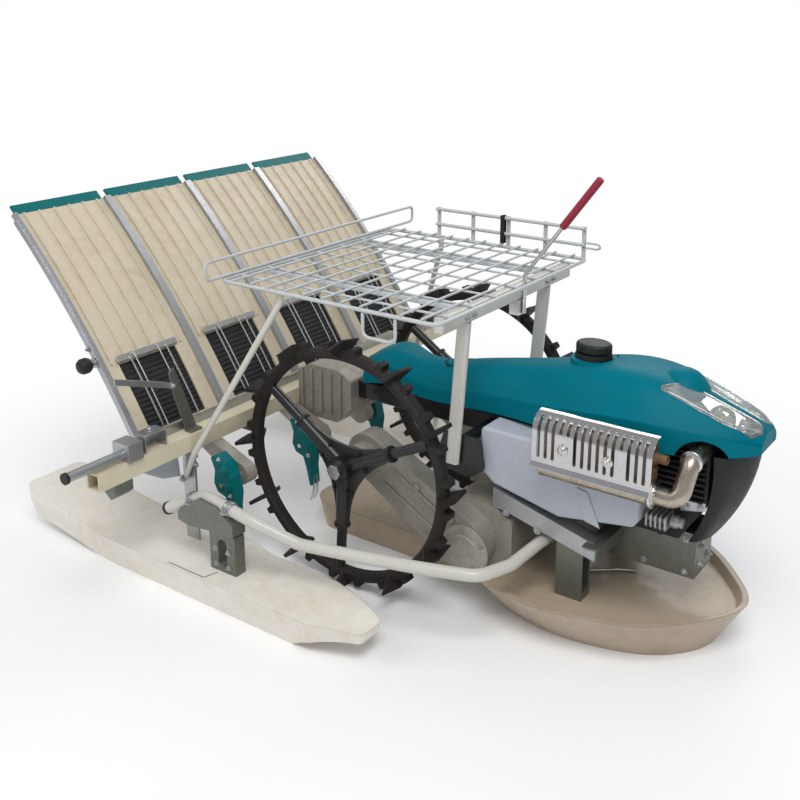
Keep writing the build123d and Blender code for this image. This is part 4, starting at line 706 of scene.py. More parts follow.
@dataclass(frozen=True)
class EngineTrim:
    """Muffler end, elbow flanges, shield studs and the engine's bare details.

    Attributes:
        muffler_x: the muffler's front end.
        end_thick: thickness of the muffler's end plate.
        end_y: the end plate's reach across the machine.
        end_z: its reach upwards.
        end_rib: the reach of a rib on the end plate, ahead and across.
        end_rib_zs: heights of those ribs.
        stub_seat: where the stub stands on the end plate.
        stub: the stub's profile.
        foot_seat: where the elbow's foot flange stands on the end plate.
        foot_flange: that flange's profile.
        foot_bolts: places of its bolts.
        head_seat: middle of the elbow's head flange.
        head_flange: that flange's profile.
        shield_y: the shield's outer face.
        stud_seats: stations of the studs on the shield.
        stud: a stud's profile.
        engine_y: the engine block's right face.
        fins: count, height of the lowest and pitch of the engine's fins.
        fin_x: the fins' reach along the engine.
        fin_y: how far out the fins stand.
        block: corners of the dark block under the fins.
        boss_seat: station of the dark boss.
        boss: the boss's profile.
        ribs: count, first station and pitch of the casting's ribs.
        rib_y: the ribs' reach across the machine.
        rib_z: their reach upwards.
        shelf: corners of the plate that joins the ribs.
        bowl_seat: where the round casting starts.
        bowl: its profile.
        plate_y: inner side of the bracket over the castings.
        plate: the bracket's outline.
        plate_bolts: stations of its bolts.
        bed_y: the engine bed's right face.
        bed_bolts: stations of the bolts on that face.
        bed_x: the engine bed's front.
        front_bolts: places of the bolts on the bed's front.
    """

    muffler_x: float = 758.0
    end_thick: float = 3.7
    end_y: Pair = (-221, -177)
    end_z: Pair = (412, 538)
    end_rib: tuple[Pair, Pair] = ((0.2, 5), (-214, -184))
    end_rib_zs: Pair = (452, 486)
    stub_seat: Pair = (-200, 513)
    stub: Line = ((0, 13), (3, 13), (4, 10.5), (30, 10.5), (30, 8), (12, 8))
    foot_seat: Pair = (-199, 428)
    foot_flange: Line = ((0, 33), (5, 33), (6, 24), (9, 24))
    foot_bolts: Line = ((-226, 440), (-174, 416))
    head_seat: Point = (826, -168, 506)
    head_flange: Line = ((0, 22), (2, 25), (6, 25), (8, 22))
    shield_y: float = -238.2
    stud_seats: Line = ((560, 492), (668, 492))
    stud: Line = ((0, 13), (2.5, 13), (4, 9), (6, 9), (6.5, 6))
    engine_y: float = -92.3
    fins: tuple[int, float, float] = (9, 384, 14)
    fin_x: Pair = (722, 836)
    fin_y: float = -103.0
    block: Box = ((724, -99, 330), (782, -92.3, 378))
    boss_seat: Pair = (748, 300)
    boss: Line = ((0, 15), (10, 15), (12, 12), (20, 12), (20, 8))
    ribs: tuple[int, float, float] = (5, 724, 11)
    rib_y: Pair = (-146, -92.5)
    rib_z: Pair = (316, 352)
    shelf: Box = ((722, -136, 328), (774, -96, 341))
    bowl_seat: Point = (776, -118, 334)
    bowl: Line = ((0, 15), (14, 15), (16, 12), (26, 12), (26, 8))
    plate_y: float = -97.0
    plate: Line = ((786, 352), (842, 366), (842, 384), (800, 386), (786, 372))
    plate_bolts: Line = ((800, 367), (830, 374))
    bed_y: float = -52.2
    bed_bolts: Line = ((600, 262), (690, 178), (790, 178), (790, 262))
    bed_x: float = 814.2
    front_bolts: Line = ((-30, 196), (30, 196), (-16, 236))

    def build(self) -> None:
        """Make the pieces round the engine."""
        self._muffler()
        self._elbow()
        self._engine()
        self._brackets()

    def _muffler(self) -> None:
        """Make the muffler's end plate, its stub and two ribs."""
        x = self.muffler_x
        hot = Shape("muffler_end", "rusty_steel", soften_mm=1.5)
        hot.slab((x - self.end_thick, self.end_y[0], self.end_z[0]), (x, self.end_y[1], self.end_z[1]))
        hot.lathe((x, *self.stub_seat), (1, 0, 0), self.stub, sides=24)
        ahead, across = self.end_rib
        for z in self.end_rib_zs:
            hot.slab((x + ahead[0], across[0], z - 3), (x + ahead[1], across[1], z + 3))
        hot.done()

    def _elbow(self) -> None:
        """Make the elbow's flanges with their bolts, and the shield's studs."""
        bright = Shape("elbow_flanges", "polished_steel", soften_mm=0.6)
        bright.lathe((self.muffler_x + 0.3, *self.foot_seat), (1, 0, 0), self.foot_flange, sides=28)
        bright.lathe(self.head_seat, (0, 1, 0), self.head_flange, sides=28)
        for y, z in self.foot_bolts:
            bright.bolt((self.muffler_x + 5.5, y, z), (1, 0, 0), across=11, head=6)
        for x, z in self.stud_seats:
            bright.lathe((x, self.shield_y, z), (0, -1, 0), self.stud, sides=24)
            bright.bolt((x, self.shield_y - 5.3, z), (0, -1, 0), across=10, head=5)
        bright.done()

    def _engine(self) -> None:
        """Make the dark fins and the bright castings below them."""
        dark = Shape("engine_fins", "dark_iron", soften_mm=0.5)
        count, foot, pitch = self.fins
        for i in range(count):
            z = foot + i * pitch
            dark.slab((self.fin_x[0], self.fin_y, z), (self.fin_x[1], self.engine_y, z + 4))
        dark.slab(*self.block)
        x, z = self.boss_seat
        dark.lathe((x, self.engine_y, z), (0, -1, 0), self.boss, sides=22)
        dark.done()
        alloy = Shape("engine_castings", "cast_alloy", soften_mm=1.0)
        count, start, pitch = self.ribs
        for i in range(count):
            x = start + i * pitch
            alloy.slab((x, self.rib_y[0], self.rib_z[0]), (x + 5, self.rib_y[1], self.rib_z[1]))
        alloy.slab(*self.shelf)
        alloy.lathe(self.bowl_seat, (1, 0, 0), self.bowl, sides=24)
        alloy.done()

    def _brackets(self) -> None:
        """Make the zinc bracket and the bolts on it and on the engine bed."""
        zinc = Shape("engine_brackets", "zinc_plate", soften_mm=0.6)
        zinc.prism([(x, self.plate_y, z) for x, z in self.plate], (0, 3, 0))
        for x, z in self.plate_bolts:
            zinc.bolt((x, self.plate_y - 0.2, z), (0, -1, 0), across=11, head=6)
        for y, z in self.front_bolts:
            zinc.bolt((self.bed_x, y, z), (1, 0, 0), across=13, head=8)
        for x, z in self.bed_bolts:
            zinc.bolt((x, self.bed_y, z), (0, -1, 0), across=12, head=6)
        zinc.done()


@dataclass(frozen=True)
class ChassisTrim:
    """Gear castings, stay brackets and bolts, case ribs and the side cover's tab.

    Attributes:
        tab_y: the side cover's outer face.
        tab_thick: thickness of the tab on it.
        tab: the tab's outline.
        case_y: the swing cases' outer face.
        hub: the gear cover's centre.
        cover: the gear cover's profile.
        bolt_ring: radius of the ring of bolts on the gear cover.
        bolt_count: bolts on that ring.
        first_bolt: angle of the first one, in degrees.
        bracket_y: reach of a stay bracket from the middle.
        shelf: the bracket's flat leg, along and up.
        apron: its hanging leg, along and up.
        stay_y: a stay's outer face.
        stay_top: station and height that a stay slopes down from.
        stay_slope: how far it drops for each millimetre ahead.
        stay_bolt_xs: stations of the bolts on a stay.
        spine: the swing case's middle line.
        square: a unit step across that line.
        rib_offset: how far a rib lies from the middle line.
        rib_wide: a rib's width, along and up.
        rib_high: how far a rib stands out.
        pads: stations of the round pads on the swing case.
        pad: a pad's profile.
        fin_xs: stations of the rear gearcase's ribs.
        fin_thick: their thickness.
        fin_y: their reach from the middle.
        fin_z: their reach upwards.
    """

    tab_y: float = -168.4
    tab_thick: float = 2.6
    tab: Line = ((566, 376), (594, 370), (628, 290), (590, 298))
    case_y: float = 228.3
    hub: Pair = (305, 158)
    cover: Line = ((0, 66), (5, 66), (7, 60), (12, 52), (12, 44), (15, 42))
    bolt_ring: float = 57.0
    bolt_count: int = 6
    first_bolt: float = 30.0
    bracket_y: Pair = (53, 196)
    shelf: tuple[Pair, Pair] = ((596, 634), (243.5, 247.5))
    apron: tuple[Pair, Pair] = ((630, 634), (214, 243.3))
    stay_y: float = 172.4
    stay_top: Pair = (346, 268)
    stay_slope: float = 0.248
    stay_bolt_xs: Pair = (384, 470)
    spine: tuple[Pair, Pair] = ((238, 196), (70, 290))
    square: Pair = (0.49, 0.87)
    rib_offset: float = 26.0
    rib_wide: Pair = (3.4, 6.1)
    rib_high: float = 5.0
    pads: Line = ((262, 226), (160, 284), (60, 340), (96, 240), (196, 184))
    pad: Line = ((0, 11), (4, 11), (5, 8))
    fin_xs: tuple[float, ...] = (-346, -312, -278, -244, -210)
    fin_thick: float = 8.0
    fin_y: Pair = (72.4, 79)
    fin_z: Pair = (330, 452)

    def build(self) -> None:
        """Make the pieces low on the chassis."""
        self._castings()
        self._stays()
        self._ribs()
        tab = Shape("cover_tab", "grey_plastic", soften_mm=0.8)
        tab.prism([(x, self.tab_y, z) for x, z in self.tab], (0, -self.tab_thick, 0))
        tab.done()

    def _castings(self) -> None:
        """Make the bolted gear covers at the foot of both swing cases."""
        cast = Shape("gear_castings", "pale_alloy", soften_mm=1.5)
        x, z = self.hub
        for _, sign in SIDES:
            y = sign * self.case_y
            cast.lathe((x, y, z), (0, sign, 0), self.cover, sides=36)
            for turn in range(self.bolt_count):
                angle = math.radians(self.first_bolt + turn * 360 / self.bolt_count)
                place = (x + self.bolt_ring * math.cos(angle), y + sign * 6,
                         z + self.bolt_ring * math.sin(angle))
                cast.bolt(place, (0, sign, 0), across=11, head=6)
        cast.done()

    def _stays(self) -> None:
        """Make the angles that carry the front stays, and the stays' bolts."""
        olive = Shape("stay_brackets", "olive_zinc", soften_mm=0.8)
        for _, sign in SIDES:
            low, high = sorted(sign * y for y in self.bracket_y)
            for along, up in (self.shelf, self.apron):
                olive.slab((along[0], low, up[0]), (along[1], high, up[1]))
        olive.done()
        bolts = Shape("stay_bolts", "zinc_plate", soften_mm=0.4)
        for _, sign in SIDES:
            for x in self.stay_bolt_xs:
                z = self.stay_top[1] - (x - self.stay_top[0]) * self.stay_slope
                bolts.bolt((x, sign * self.stay_y, z), (0, sign, 0), across=14, head=7)
        bolts.done()

    def _ribs(self) -> None:
        """Make the ribs and pads of the swing cases and of the rear gearcase."""
        ribs = Shape("case_ribs", "pale_alloy", soften_mm=1.5)
        wide_x, wide_z = self.rib_wide
        for _, sign in SIDES:
            y = sign * self.case_y
            for offset in (-self.rib_offset, self.rib_offset):
                lift = (self.square[0] * offset, self.square[1] * offset)
                near, far = [(x + lift[0], z + lift[1]) for x, z in self.spine]
                ribs.prism([(near[0], y, near[1]), (far[0], y, far[1]),
                            (far[0] + wide_x, y, far[1] + wide_z),
                            (near[0] + wide_x, y, near[1] + wide_z)], (0, sign * self.rib_high, 0))
            for x, z in self.pads:
                ribs.lathe((x, y, z), (0, sign, 0), self.pad, sides=20)
            low, high = sorted(sign * reach for reach in self.fin_y)
            for x in self.fin_xs:
                ribs.slab((x, low, self.fin_z[0]), (x + self.fin_thick, high, self.fin_z[1]))
        ribs.done()


@dataclass(frozen=True)
class TrayTrim:
    """Wires and bars over the belt windows and the bright edges of the table.

    Attributes:
        foot: the curve's lower end, ahead of the axle and above the ground.
        head: the curve's upper end.
        sag: how far the curve bows from its chord.
        wire_ys: the wires' places across each lane.
        wire_stations: the wires' corners up the curve.
        wire_height: how far the wires stand off the deck.
        wire_radius: the wires' radius.
        bar_span: where the bar starts and ends up the curve.
        bar_half: half the bar's length.
        edge: section of the edge rail, across the table and above its face.
        edge_span: where the edge rail starts and ends up the curve.
        edge_step: length of one of its straight parts.
    """

    foot: Pair = (-428.0, 377.3)
    head: Pair = (-852.0, 913.0)
    sag: float = 22.0
    wire_ys: Pair = (-48, 30)
    wire_stations: tuple[float, ...] = (18, 80, 150, 228)
    wire_height: float = 15.0
    wire_radius: float = 1.5
    bar_span: Pair = (214, 226)
    bar_half: float = 100.0
    edge: Line = ((600.3, -5), (605.3, -5), (605.3, 12), (600.3, 12))
    edge_span: tuple[int, int] = (8, 672)
    edge_step: int = 16

    def at(self, s: float, h: float) -> Pair:
        """Find a point on the table's curve.

        Args:
            s: millimetres up the curve from its foot.
            h: millimetres above its face.

        Returns:
            Millimetres ahead of the axle and above the ground.
        """
        chord = math.dist(self.foot, self.head)
        radius = chord**2 / (8 * self.sag) + self.sag / 2
        up = ((self.head[0] - self.foot[0]) / chord, (self.head[1] - self.foot[1]) / chord)
        out = (up[1], -up[0])
        centre = [(f + e) / 2 - o * (radius - self.sag) for f, e, o in zip(self.foot, self.head, out)]
        angle = math.atan2(self.foot[1] - centre[1], self.foot[0] - centre[0]) + s / radius
        return (centre[0] + (radius + h) * math.cos(angle), centre[1] + (radius + h) * math.sin(angle))

    def build(self) -> None:
        """Make the table's trim, all of it riding on the table."""
        wires = Shape("belt_wires", "white_enamel", TABLE, soften_mm=0.1)
        bars = Shape("belt_bars", "zinc_plate", TABLE, soften_mm=0.5)
        for lane in ROW_YS:
            for offset in self.wire_ys:
                self._wire(wires, lane + offset)
            self._bar(bars, lane)
        wires.done()
        bars.done()
        rails = Shape("table_edge_rails", "zinc_plate", TABLE, soften_mm=0.8)
        for _, sign in SIDES:
            rings = []
            for s in range(self.edge_span[0], self.edge_span[1] + 1, self.edge_step):
                corners = [(y, self.at(s, h)) for y, h in self.edge]
                rings.append([mm(x, sign * y, z) for y, (x, z) in corners])
            rails.skin(rings)
        rails.done()

    def _wire(self, wires: Shape, y: float) -> None:
        """Add one wire over a belt window, bent down to the deck at its top.

        Args:
            wires: the shape it is added to.
            y: its place across the table.
        """
        line = [self.at(s, self.wire_height) for s in self.wire_stations]
        wires.tube([(x, y, z) for x, z in line], self.wire_radius, sides=8, bend=20)
        top_x, top_z = line[-1]
        x, z = self.at(self.wire_stations[-1], 3)
        wires.tube([(top_x, y, top_z), (x, y, z)], self.wire_radius, sides=8)

    def _bar(self, bars: Shape, lane: float) -> None:
        """Add the flat bar above one belt window.

        Args:
            bars: the shape it is added to.
            lane: the lane's middle.
        """
        low, top = [self.at(s, 0.4) for s in self.bar_span]
        left, right = lane + self.bar_half, lane - self.bar_half
        lift = [a - b for a, b in zip(self.at(self.bar_span[0], 6), low)]
        bars.prism([(low[0], right, low[1]), (low[0], left, low[1]),
                    (top[0], left, top[1]), (top[0], right, top[1])], (lift[0], 0, lift[1]))


@dataclass(frozen=True)
class WheelTrim:
    """Gusset bolts and spoke collars on the wheels.

    Attributes:
        hub_z: the hub's height.
        ring_y: the ring's middle plane.
        gusset_y: the gusset plate's outer face.
        spokes: spokes of a wheel.
        first: angle of the first spoke, in degrees.
        bolt_reach: how far from the hub the gusset's bolts are.
        bolt_spread: how far they stand to each side of the spoke.
        collar_reach: how far from the hub the collars are.
    """

    hub_z: float = 330.0
    ring_y: float = 312.0
    gusset_y: float = 316.3
    spokes: int = 3
    first: float = 26.0
    bolt_reach: float = 64.0
    bolt_spread: float = 24.0
    collar_reach: float = 158.0

    def build(self) -> None:
        """Make the trim of both wheels."""
        collar = [(0, 20), (1, 21), (7, 21), (8, 20)]
        for name, sign in SIDES:
            trim = Shape(f"wheel_bolts_{name}", "dark_iron", f"wheel_{name}", soften_mm=0.5)
            for spoke in range(self.spokes):
                angle = math.radians(self.first + spoke * 360 / self.spokes)
                along, up = math.cos(angle), math.sin(angle)
                for spread in (-self.bolt_spread, self.bolt_spread):
                    place = (self.bolt_reach * along - spread * up, sign * self.gusset_y,
                             self.hub_z + self.bolt_reach * up + spread * along)
                    trim.bolt(place, (0, sign, 0), across=11, head=6)
                seat = (self.collar_reach * along, sign * self.ring_y, self.hub_z + self.collar_reach * up)
                trim.lathe(seat, (along, 0, up), collar, sides=28)
            trim.done()


@dataclass(frozen=True)
class ArmTrim:
    """Cover lobes, bolts and steel claws on the four planting arms.

    Attributes:
        lobes: station, height and radius of each round lobe.
        lobe_y: where the lobes seat, from the arm's middle.
        lobe_steps: height and share of the radius of a lobe's profile. The inner lobes
            end short of the crank's web, which starts 23 mm from the arm's middle.
        claw: station, place across and height of a claw's corners. The tip stays
            above the side floats through the whole turn.
        claw_radius: a claw's radius.
        bolts: stations of the bolts, which are on the outer side, clear of the crank.
        bolt_y: where the bolts seat.
    """

    lobes: tuple[Point, ...] = ((-290, 322, 15), (-266, 306, 16), (-256, 262, 14), (-250, 214, 9))
    lobe_y: float = 16.5
    lobe_steps: Line = ((0, 1.0), (2, 1.0), (4, 0.72), (5, 0.3))
    claw: tuple[Point, ...] = ((-241, 6, 176), (-238, 7, 146), (-241, 8, 120), (-251, 8, 101))
    claw_radius: float = 3.2
    bolts: Line = ((-283, 331), (-247, 240))
    bolt_y: float = 17.2

    def build(self) -> None:
        """Make each arm's trim, riding on its own arm."""
        for i, y in enumerate(ROW_YS):
            body = f"arm_body_{i + 1}"
            teal = Shape(f"arm_lobes_{i + 1}", "arm_teal", body, soften_mm=1.0)
            for x, z, radius in self.lobes:
                profile = [(high, radius * share) for high, share in self.lobe_steps]
                for _, sign in SIDES:
                    teal.lathe((x, y + sign * self.lobe_y, z), (0, sign, 0), profile, sides=22)
            teal.done()
            steel = Shape(f"arm_claws_{i + 1}", "polished_steel", body, soften_mm=0.3)
            for _, sign in SIDES:
                line = [(x, y + sign * aside, z) for x, aside, z in self.claw]
                steel.tube(line, self.claw_radius, sides=8, bend=14)
            outward = 1 if y > 0 else -1
            for x, z in self.bolts:
                steel.bolt((x, y + outward * self.bolt_y, z), (0, outward, 0), across=9, head=4)
            steel.done()


@dataclass(frozen=True)
class FeedTrim:
    """Brackets, guide arm and post, splash sheet and the table's lock knob.

    Attributes:
        cheek_ys: the two cheeks of the bracket on each end of the beam.
        cheek_x: a cheek's reach along the machine.
        sheet_thick: thickness of the brackets' sheet.
        beam_top: just above the planting beam.
        cheek_top: top of the cheeks.
        cap: reach of the bracket's cap along, and its lower and upper face.
        cap_bolt_x: station of the bolt on the cap.
        end_bolt: station, place across and height of the bolt on the feed end.
        face_bolts: the bolts on the feed end's face: station, place across and heights.
        angle_y: where the angle under the beam starts.
        angle_long: how far it goes to the right.
        angle: its outline, from the right.
        guide_arm_x: back of the guide arm.
        guide_arm: outline of the guide arm, from the front.
        guide_bolt: place of the guide arm's bolt.
        guide_post_x: back of the guide post.
        guide_post: outline of the guide post, from the front.
        foot: section of the post's foot, along and above the beam.
        foot_y: where the foot starts.
        foot_long: how far it goes to the right.
        splash_x: back of the splash sheet.
        splash: outline of the splash sheet, from the front.
        lock_station: how far up the table the lock knob is.
        knob_y: the knob's inner end.
        knob: the knob's profile.
        seat_y: the table's right edge.
        seat: profile of the knob's seat.
        seat_bolt: place of the bolt by the seat, behind and above the knob.
    """

    cheek_ys: Pair = (566, 632)
    cheek_x: Pair = (-399, -359)
    sheet_thick: float = 3.0
    beam_top: float = 386.5
    cheek_top: float = 430.0
    cap: tuple[Pair, Pair] = ((-399, -357), (430.2, 433))
    cap_bolt_x: float = -379.0
    end_bolt: Point = (-385, 496.8, 262)
    face_bolts: tuple[Pair, Pair] = ((-357.6, 477), (300, 326))
    angle_y: float = -676.0
    angle_long: float = 56.0
    angle: Line = ((-401, 341.6), (-360, 341.6), (-360, 314), (-376, 300), (-401, 318))
    guide_arm_x: float = -384.0
    guide_arm: Line = ((-690, 578), (-690, 594), (-510, 530), (-510, 514))
    guide_bolt: Point = (-379.8, -516, 524)
    guide_post_x: float = -388.0
    guide_post: Line = (
        (-476, 386.5), (-440, 386.5), (-452, 424), (-486, 520), (-504, 566), (-522, 560),
        (-512, 500), (-490, 430),
    )
    foot: Line = ((-388, 0), (-388, 5.5), (-364, 5.5), (-364, 0))
    foot_y: float = -440.0
    foot_long: float = 40.0
    splash_x: float = -405.5
    splash: Line = ((-655, 366), (-498, 366), (-490, 262), (-548, 276), (-640, 336))
    lock_station: float = 236.0
    knob_y: float = -620.5
    knob: Line = ((0, 10), (4, 16), (12, 20), (26, 20), (33, 16), (36, 8))
    seat_y: float = -605.5
    seat: Line = ((0, 15), (3, 15), (4, 8), (14.8, 8))
    seat_bolt: Pair = (-24, 30)

    def build(self) -> None:
        """Make the pieces on the beam, and the knob on the table's right edge."""
        self._brackets()
        self._guide()
        sheet = Shape("splash_sheet_right", "grey_plastic", soften_mm=0.5)
        sheet.prism([(self.splash_x, y, z) for y, z in self.splash], (3, 0, 0))
        sheet.done()
        self._lock()

    def _brackets(self) -> None:
        """Make the brackets on both ends of the beam, their bolts and the angle."""
        zinc = Shape("beam_brackets", "zinc_plate", soften_mm=0.6)
        back, front = self.cheek_x
        (cap_back, cap_front), (cap_foot, cap_top) = self.cap
        (face_x, face_y), face_zs = self.face_bolts
        for _, sign in SIDES:
            cheeks = [sign * y for y in self.cheek_ys]
            for y in cheeks:
                low, high = sorted((y, y - sign * self.sheet_thick))
                zinc.slab((back, low, self.beam_top - 0.1), (front, high, self.cheek_top))
            low, high = sorted(cheeks)
            zinc.slab((cap_back, low, cap_foot), (cap_front, high, cap_top))
            zinc.bolt((self.cap_bolt_x, (low + high) / 2, cap_top + 0.2), (0, 0, 1), across=14, head=8)
            x, y, z = self.end_bolt
            zinc.bolt((x, sign * y, z), (0, sign, 0), across=15, head=8)
            for z in face_zs:
                zinc.bolt((face_x, sign * face_y, z), (1, 0, 0), across=11, head=6)
        zinc.done()
        dark = Shape("beam_angle_right", "olive_zinc", soften_mm=0.8)
        dark.prism([(x, self.angle_y, z) for x, z in self.angle], (0, -self.angle_long, 0))
        dark.done()

    def _guide(self) -> None:
        """Make the guide arm, and the post that stands on the beam."""
        arm = Shape("guide_arm_right", "zinc_plate", soften_mm=0.6)
        arm.prism([(self.guide_arm_x, y, z) for y, z in self.guide_arm], (4, 0, 0))
        arm.bolt(self.guide_bolt, (1, 0, 0), across=11, head=6)
        arm.done()
        post = Shape("guide_post_right", "olive_zinc", soften_mm=0.8)
        post.prism([(self.guide_post_x, y, z) for y, z in self.guide_post], (3.5, 0, 0))
        foot = [(x, self.foot_y, self.beam_top + lift) for x, lift in self.foot]
        post.prism(foot, (0, -self.foot_long, 0))
        post.done()

    def _lock(self) -> None:
        """Make the lock knob and its seat, riding on the table."""
        x, z = TrayTrim().at(self.lock_station, 2)
        lock = Shape("table_lock_knob", "black_plastic", TABLE, soften_mm=1.0)
        lock.lathe((x, self.knob_y, z), (0, -1, 0), self.knob, sides=26)
        lock.done()
        seat = Shape("table_lock_seat", "zinc_plate", TABLE, soften_mm=0.5)
        seat.lathe((x, self.seat_y, z), (0, -1, 0), self.seat, sides=22)
        behind, above = self.seat_bolt
        seat.bolt((x + behind, self.seat_y - 0.1, z + above), (0, -1, 0), across=11, head=6)
        seat.done()


@dataclass(frozen=True)
class FloatTrim:
    """Tube collars, flap seams and the rod that lies in the pan.

    Attributes:
        tube_y: the guard tube's place from the middle.
        collars: station, height and the tube's direction at each collar.
        collar: the profile of a collar.
        bracket_bolts: stations of the bolts on the float bracket.
        flap: plan of the seam on a side float.
        seam: the seam's radius.
        float_top: the height used where a plumb line misses the float.
        rod: corners of the rod in the pan.
        rod_radius: the rod's radius.
    """

    tube_y: float = 540.0
    collars: tuple[tuple[Pair, Pair], ...] = (((-302, 246.0), (133, 73)), ((-178, 255.2), (151, -23)))
    collar: Line = ((-10, 15.6), (-10, 19), (-7, 20), (7, 20), (10, 19), (10, 15.6))
    bracket_bolts: Line = ((-214, 146), (-172, 146), (-214, 104), (-172, 104))
    flap: Line = ((-338, 603), (-215, 603), (-204, 566))
    seam: float = 1.1
    float_top: float = 86.0
    rod: tuple[Point, ...] = ((548, -34, 92), (600, 6, 92), (640, 28, 92))
    rod_radius: float = 3.2

    def build(self) -> None:
        """Make the fittings of the three floats."""
        probe = NodeProbe("side_floats")
        collar = Shape("guard_collars", "zinc_plate", soften_mm=0.6)
        seam = Shape("flap_seams", "black_plastic", soften_mm=0.1)
        for _, sign in SIDES:
            for (x, z), (along, up) in self.collars:
                collar.lathe((x, sign * self.tube_y, z), (along, 0, up), self.collar, sides=26)
                collar.bolt((x, sign * (self.tube_y + 20.5), z), (0, sign, 0), across=12, head=7)
            for x, z in self.bracket_bolts:
                collar.bolt((x, sign * (self.tube_y + 17.4), z), (0, sign, 0), across=10, head=5)
            line = [(x, sign * y, probe.drop(x, sign * y, self.float_top) + 0.1) for x, y in self.flap]
            seam.tube(line, self.seam, sides=6, bend=3)
        collar.done()
        seam.done()
        rod = Shape("pan_rod", "polished_steel", soften_mm=0.1)
        rod.tube(self.rod, self.rod_radius, sides=8, bend=8)
        rod.done()


@dataclass(frozen=True)
class RackTrim:
    """The hairpin at the fence's end, a strap, and the rack's bolts.

    Attributes:
        hairpin_y: the hairpin's place on the left side.
        hairpin: the hairpin's corners, ahead of the axle and above the ground.
        hairpin_radius: the wire's radius.
        strap_ys: the two layers of the strap, on each side of the fence.
        strap_x: the strap's reach along the fence.
        strap_z: its reach upwards.
        strap_thick: thickness of one layer.
        leg_x: front face of the rack's legs.
        leg_bolts: places of the bolts across the legs.
        leg_bolt_z: height of those bolts.
    """

    hairpin_y: float = 366.0
    hairpin: Line = ((303, 812), (340, 812), (348, 805), (340, 798), (303, 798))
    hairpin_radius: float = 3.0
    strap_ys: Pair = (360.2, 370.4)
    strap_x: Pair = (37, 51)
    strap_z: Pair = (776, 858)
    strap_thick: float = 1.6
    leg_x: float = 288.3
    leg_bolts: Pair = (178, 211)
    leg_bolt_z: float = 744.0

    def build(self) -> None:
        """Make the rack's fittings."""
        wire = Shape("fence_hairpin", "rack_enamel", soften_mm=0.1)
        wire.tube([(x, self.hairpin_y, z) for x, z in self.hairpin], self.hairpin_radius, sides=8, bend=6)
        wire.done()
        strap = Shape("fence_strap", "black_plastic", soften_mm=0.6)
        for y in self.strap_ys:
            strap.slab((self.strap_x[0], y, self.strap_z[0]),
                       (self.strap_x[1], y + self.strap_thick, self.strap_z[1]))
        strap.done()
        bolts = Shape("rack_bolts", "zinc_plate", soften_mm=0.4)
        for _, sign in SIDES:
            for y in self.leg_bolts:
                bolts.bolt((self.leg_x, sign * y, self.leg_bolt_z), (1, 0, 0), across=11, head=6)
        bolts.done()


# Studio
@dataclass(frozen=True)
class Softbox:
    """One square area light.

    Attributes:
        name: the light's name.
        place: where it hangs, in metres.
        target: what it points at.
        side: edge length in metres.
        watts: power.
    """

    name: str
    place: Point
    target: Point
    side: float
    watts: float

    def hang(self) -> None:
        """Add the light to the scene."""
        data = bpy.data.lights.new(self.name, "AREA")
        data.size = self.side
        data.energy = self.watts
        lamp = bpy.data.objects.new(self.name, data)
        lamp.location = self.place
        aim = Vector(self.target) - Vector(self.place)
        lamp.rotation_euler = aim.to_track_quat("-Z", "Y").to_euler()
        bpy.context.scene.collection.objects.link(lamp)


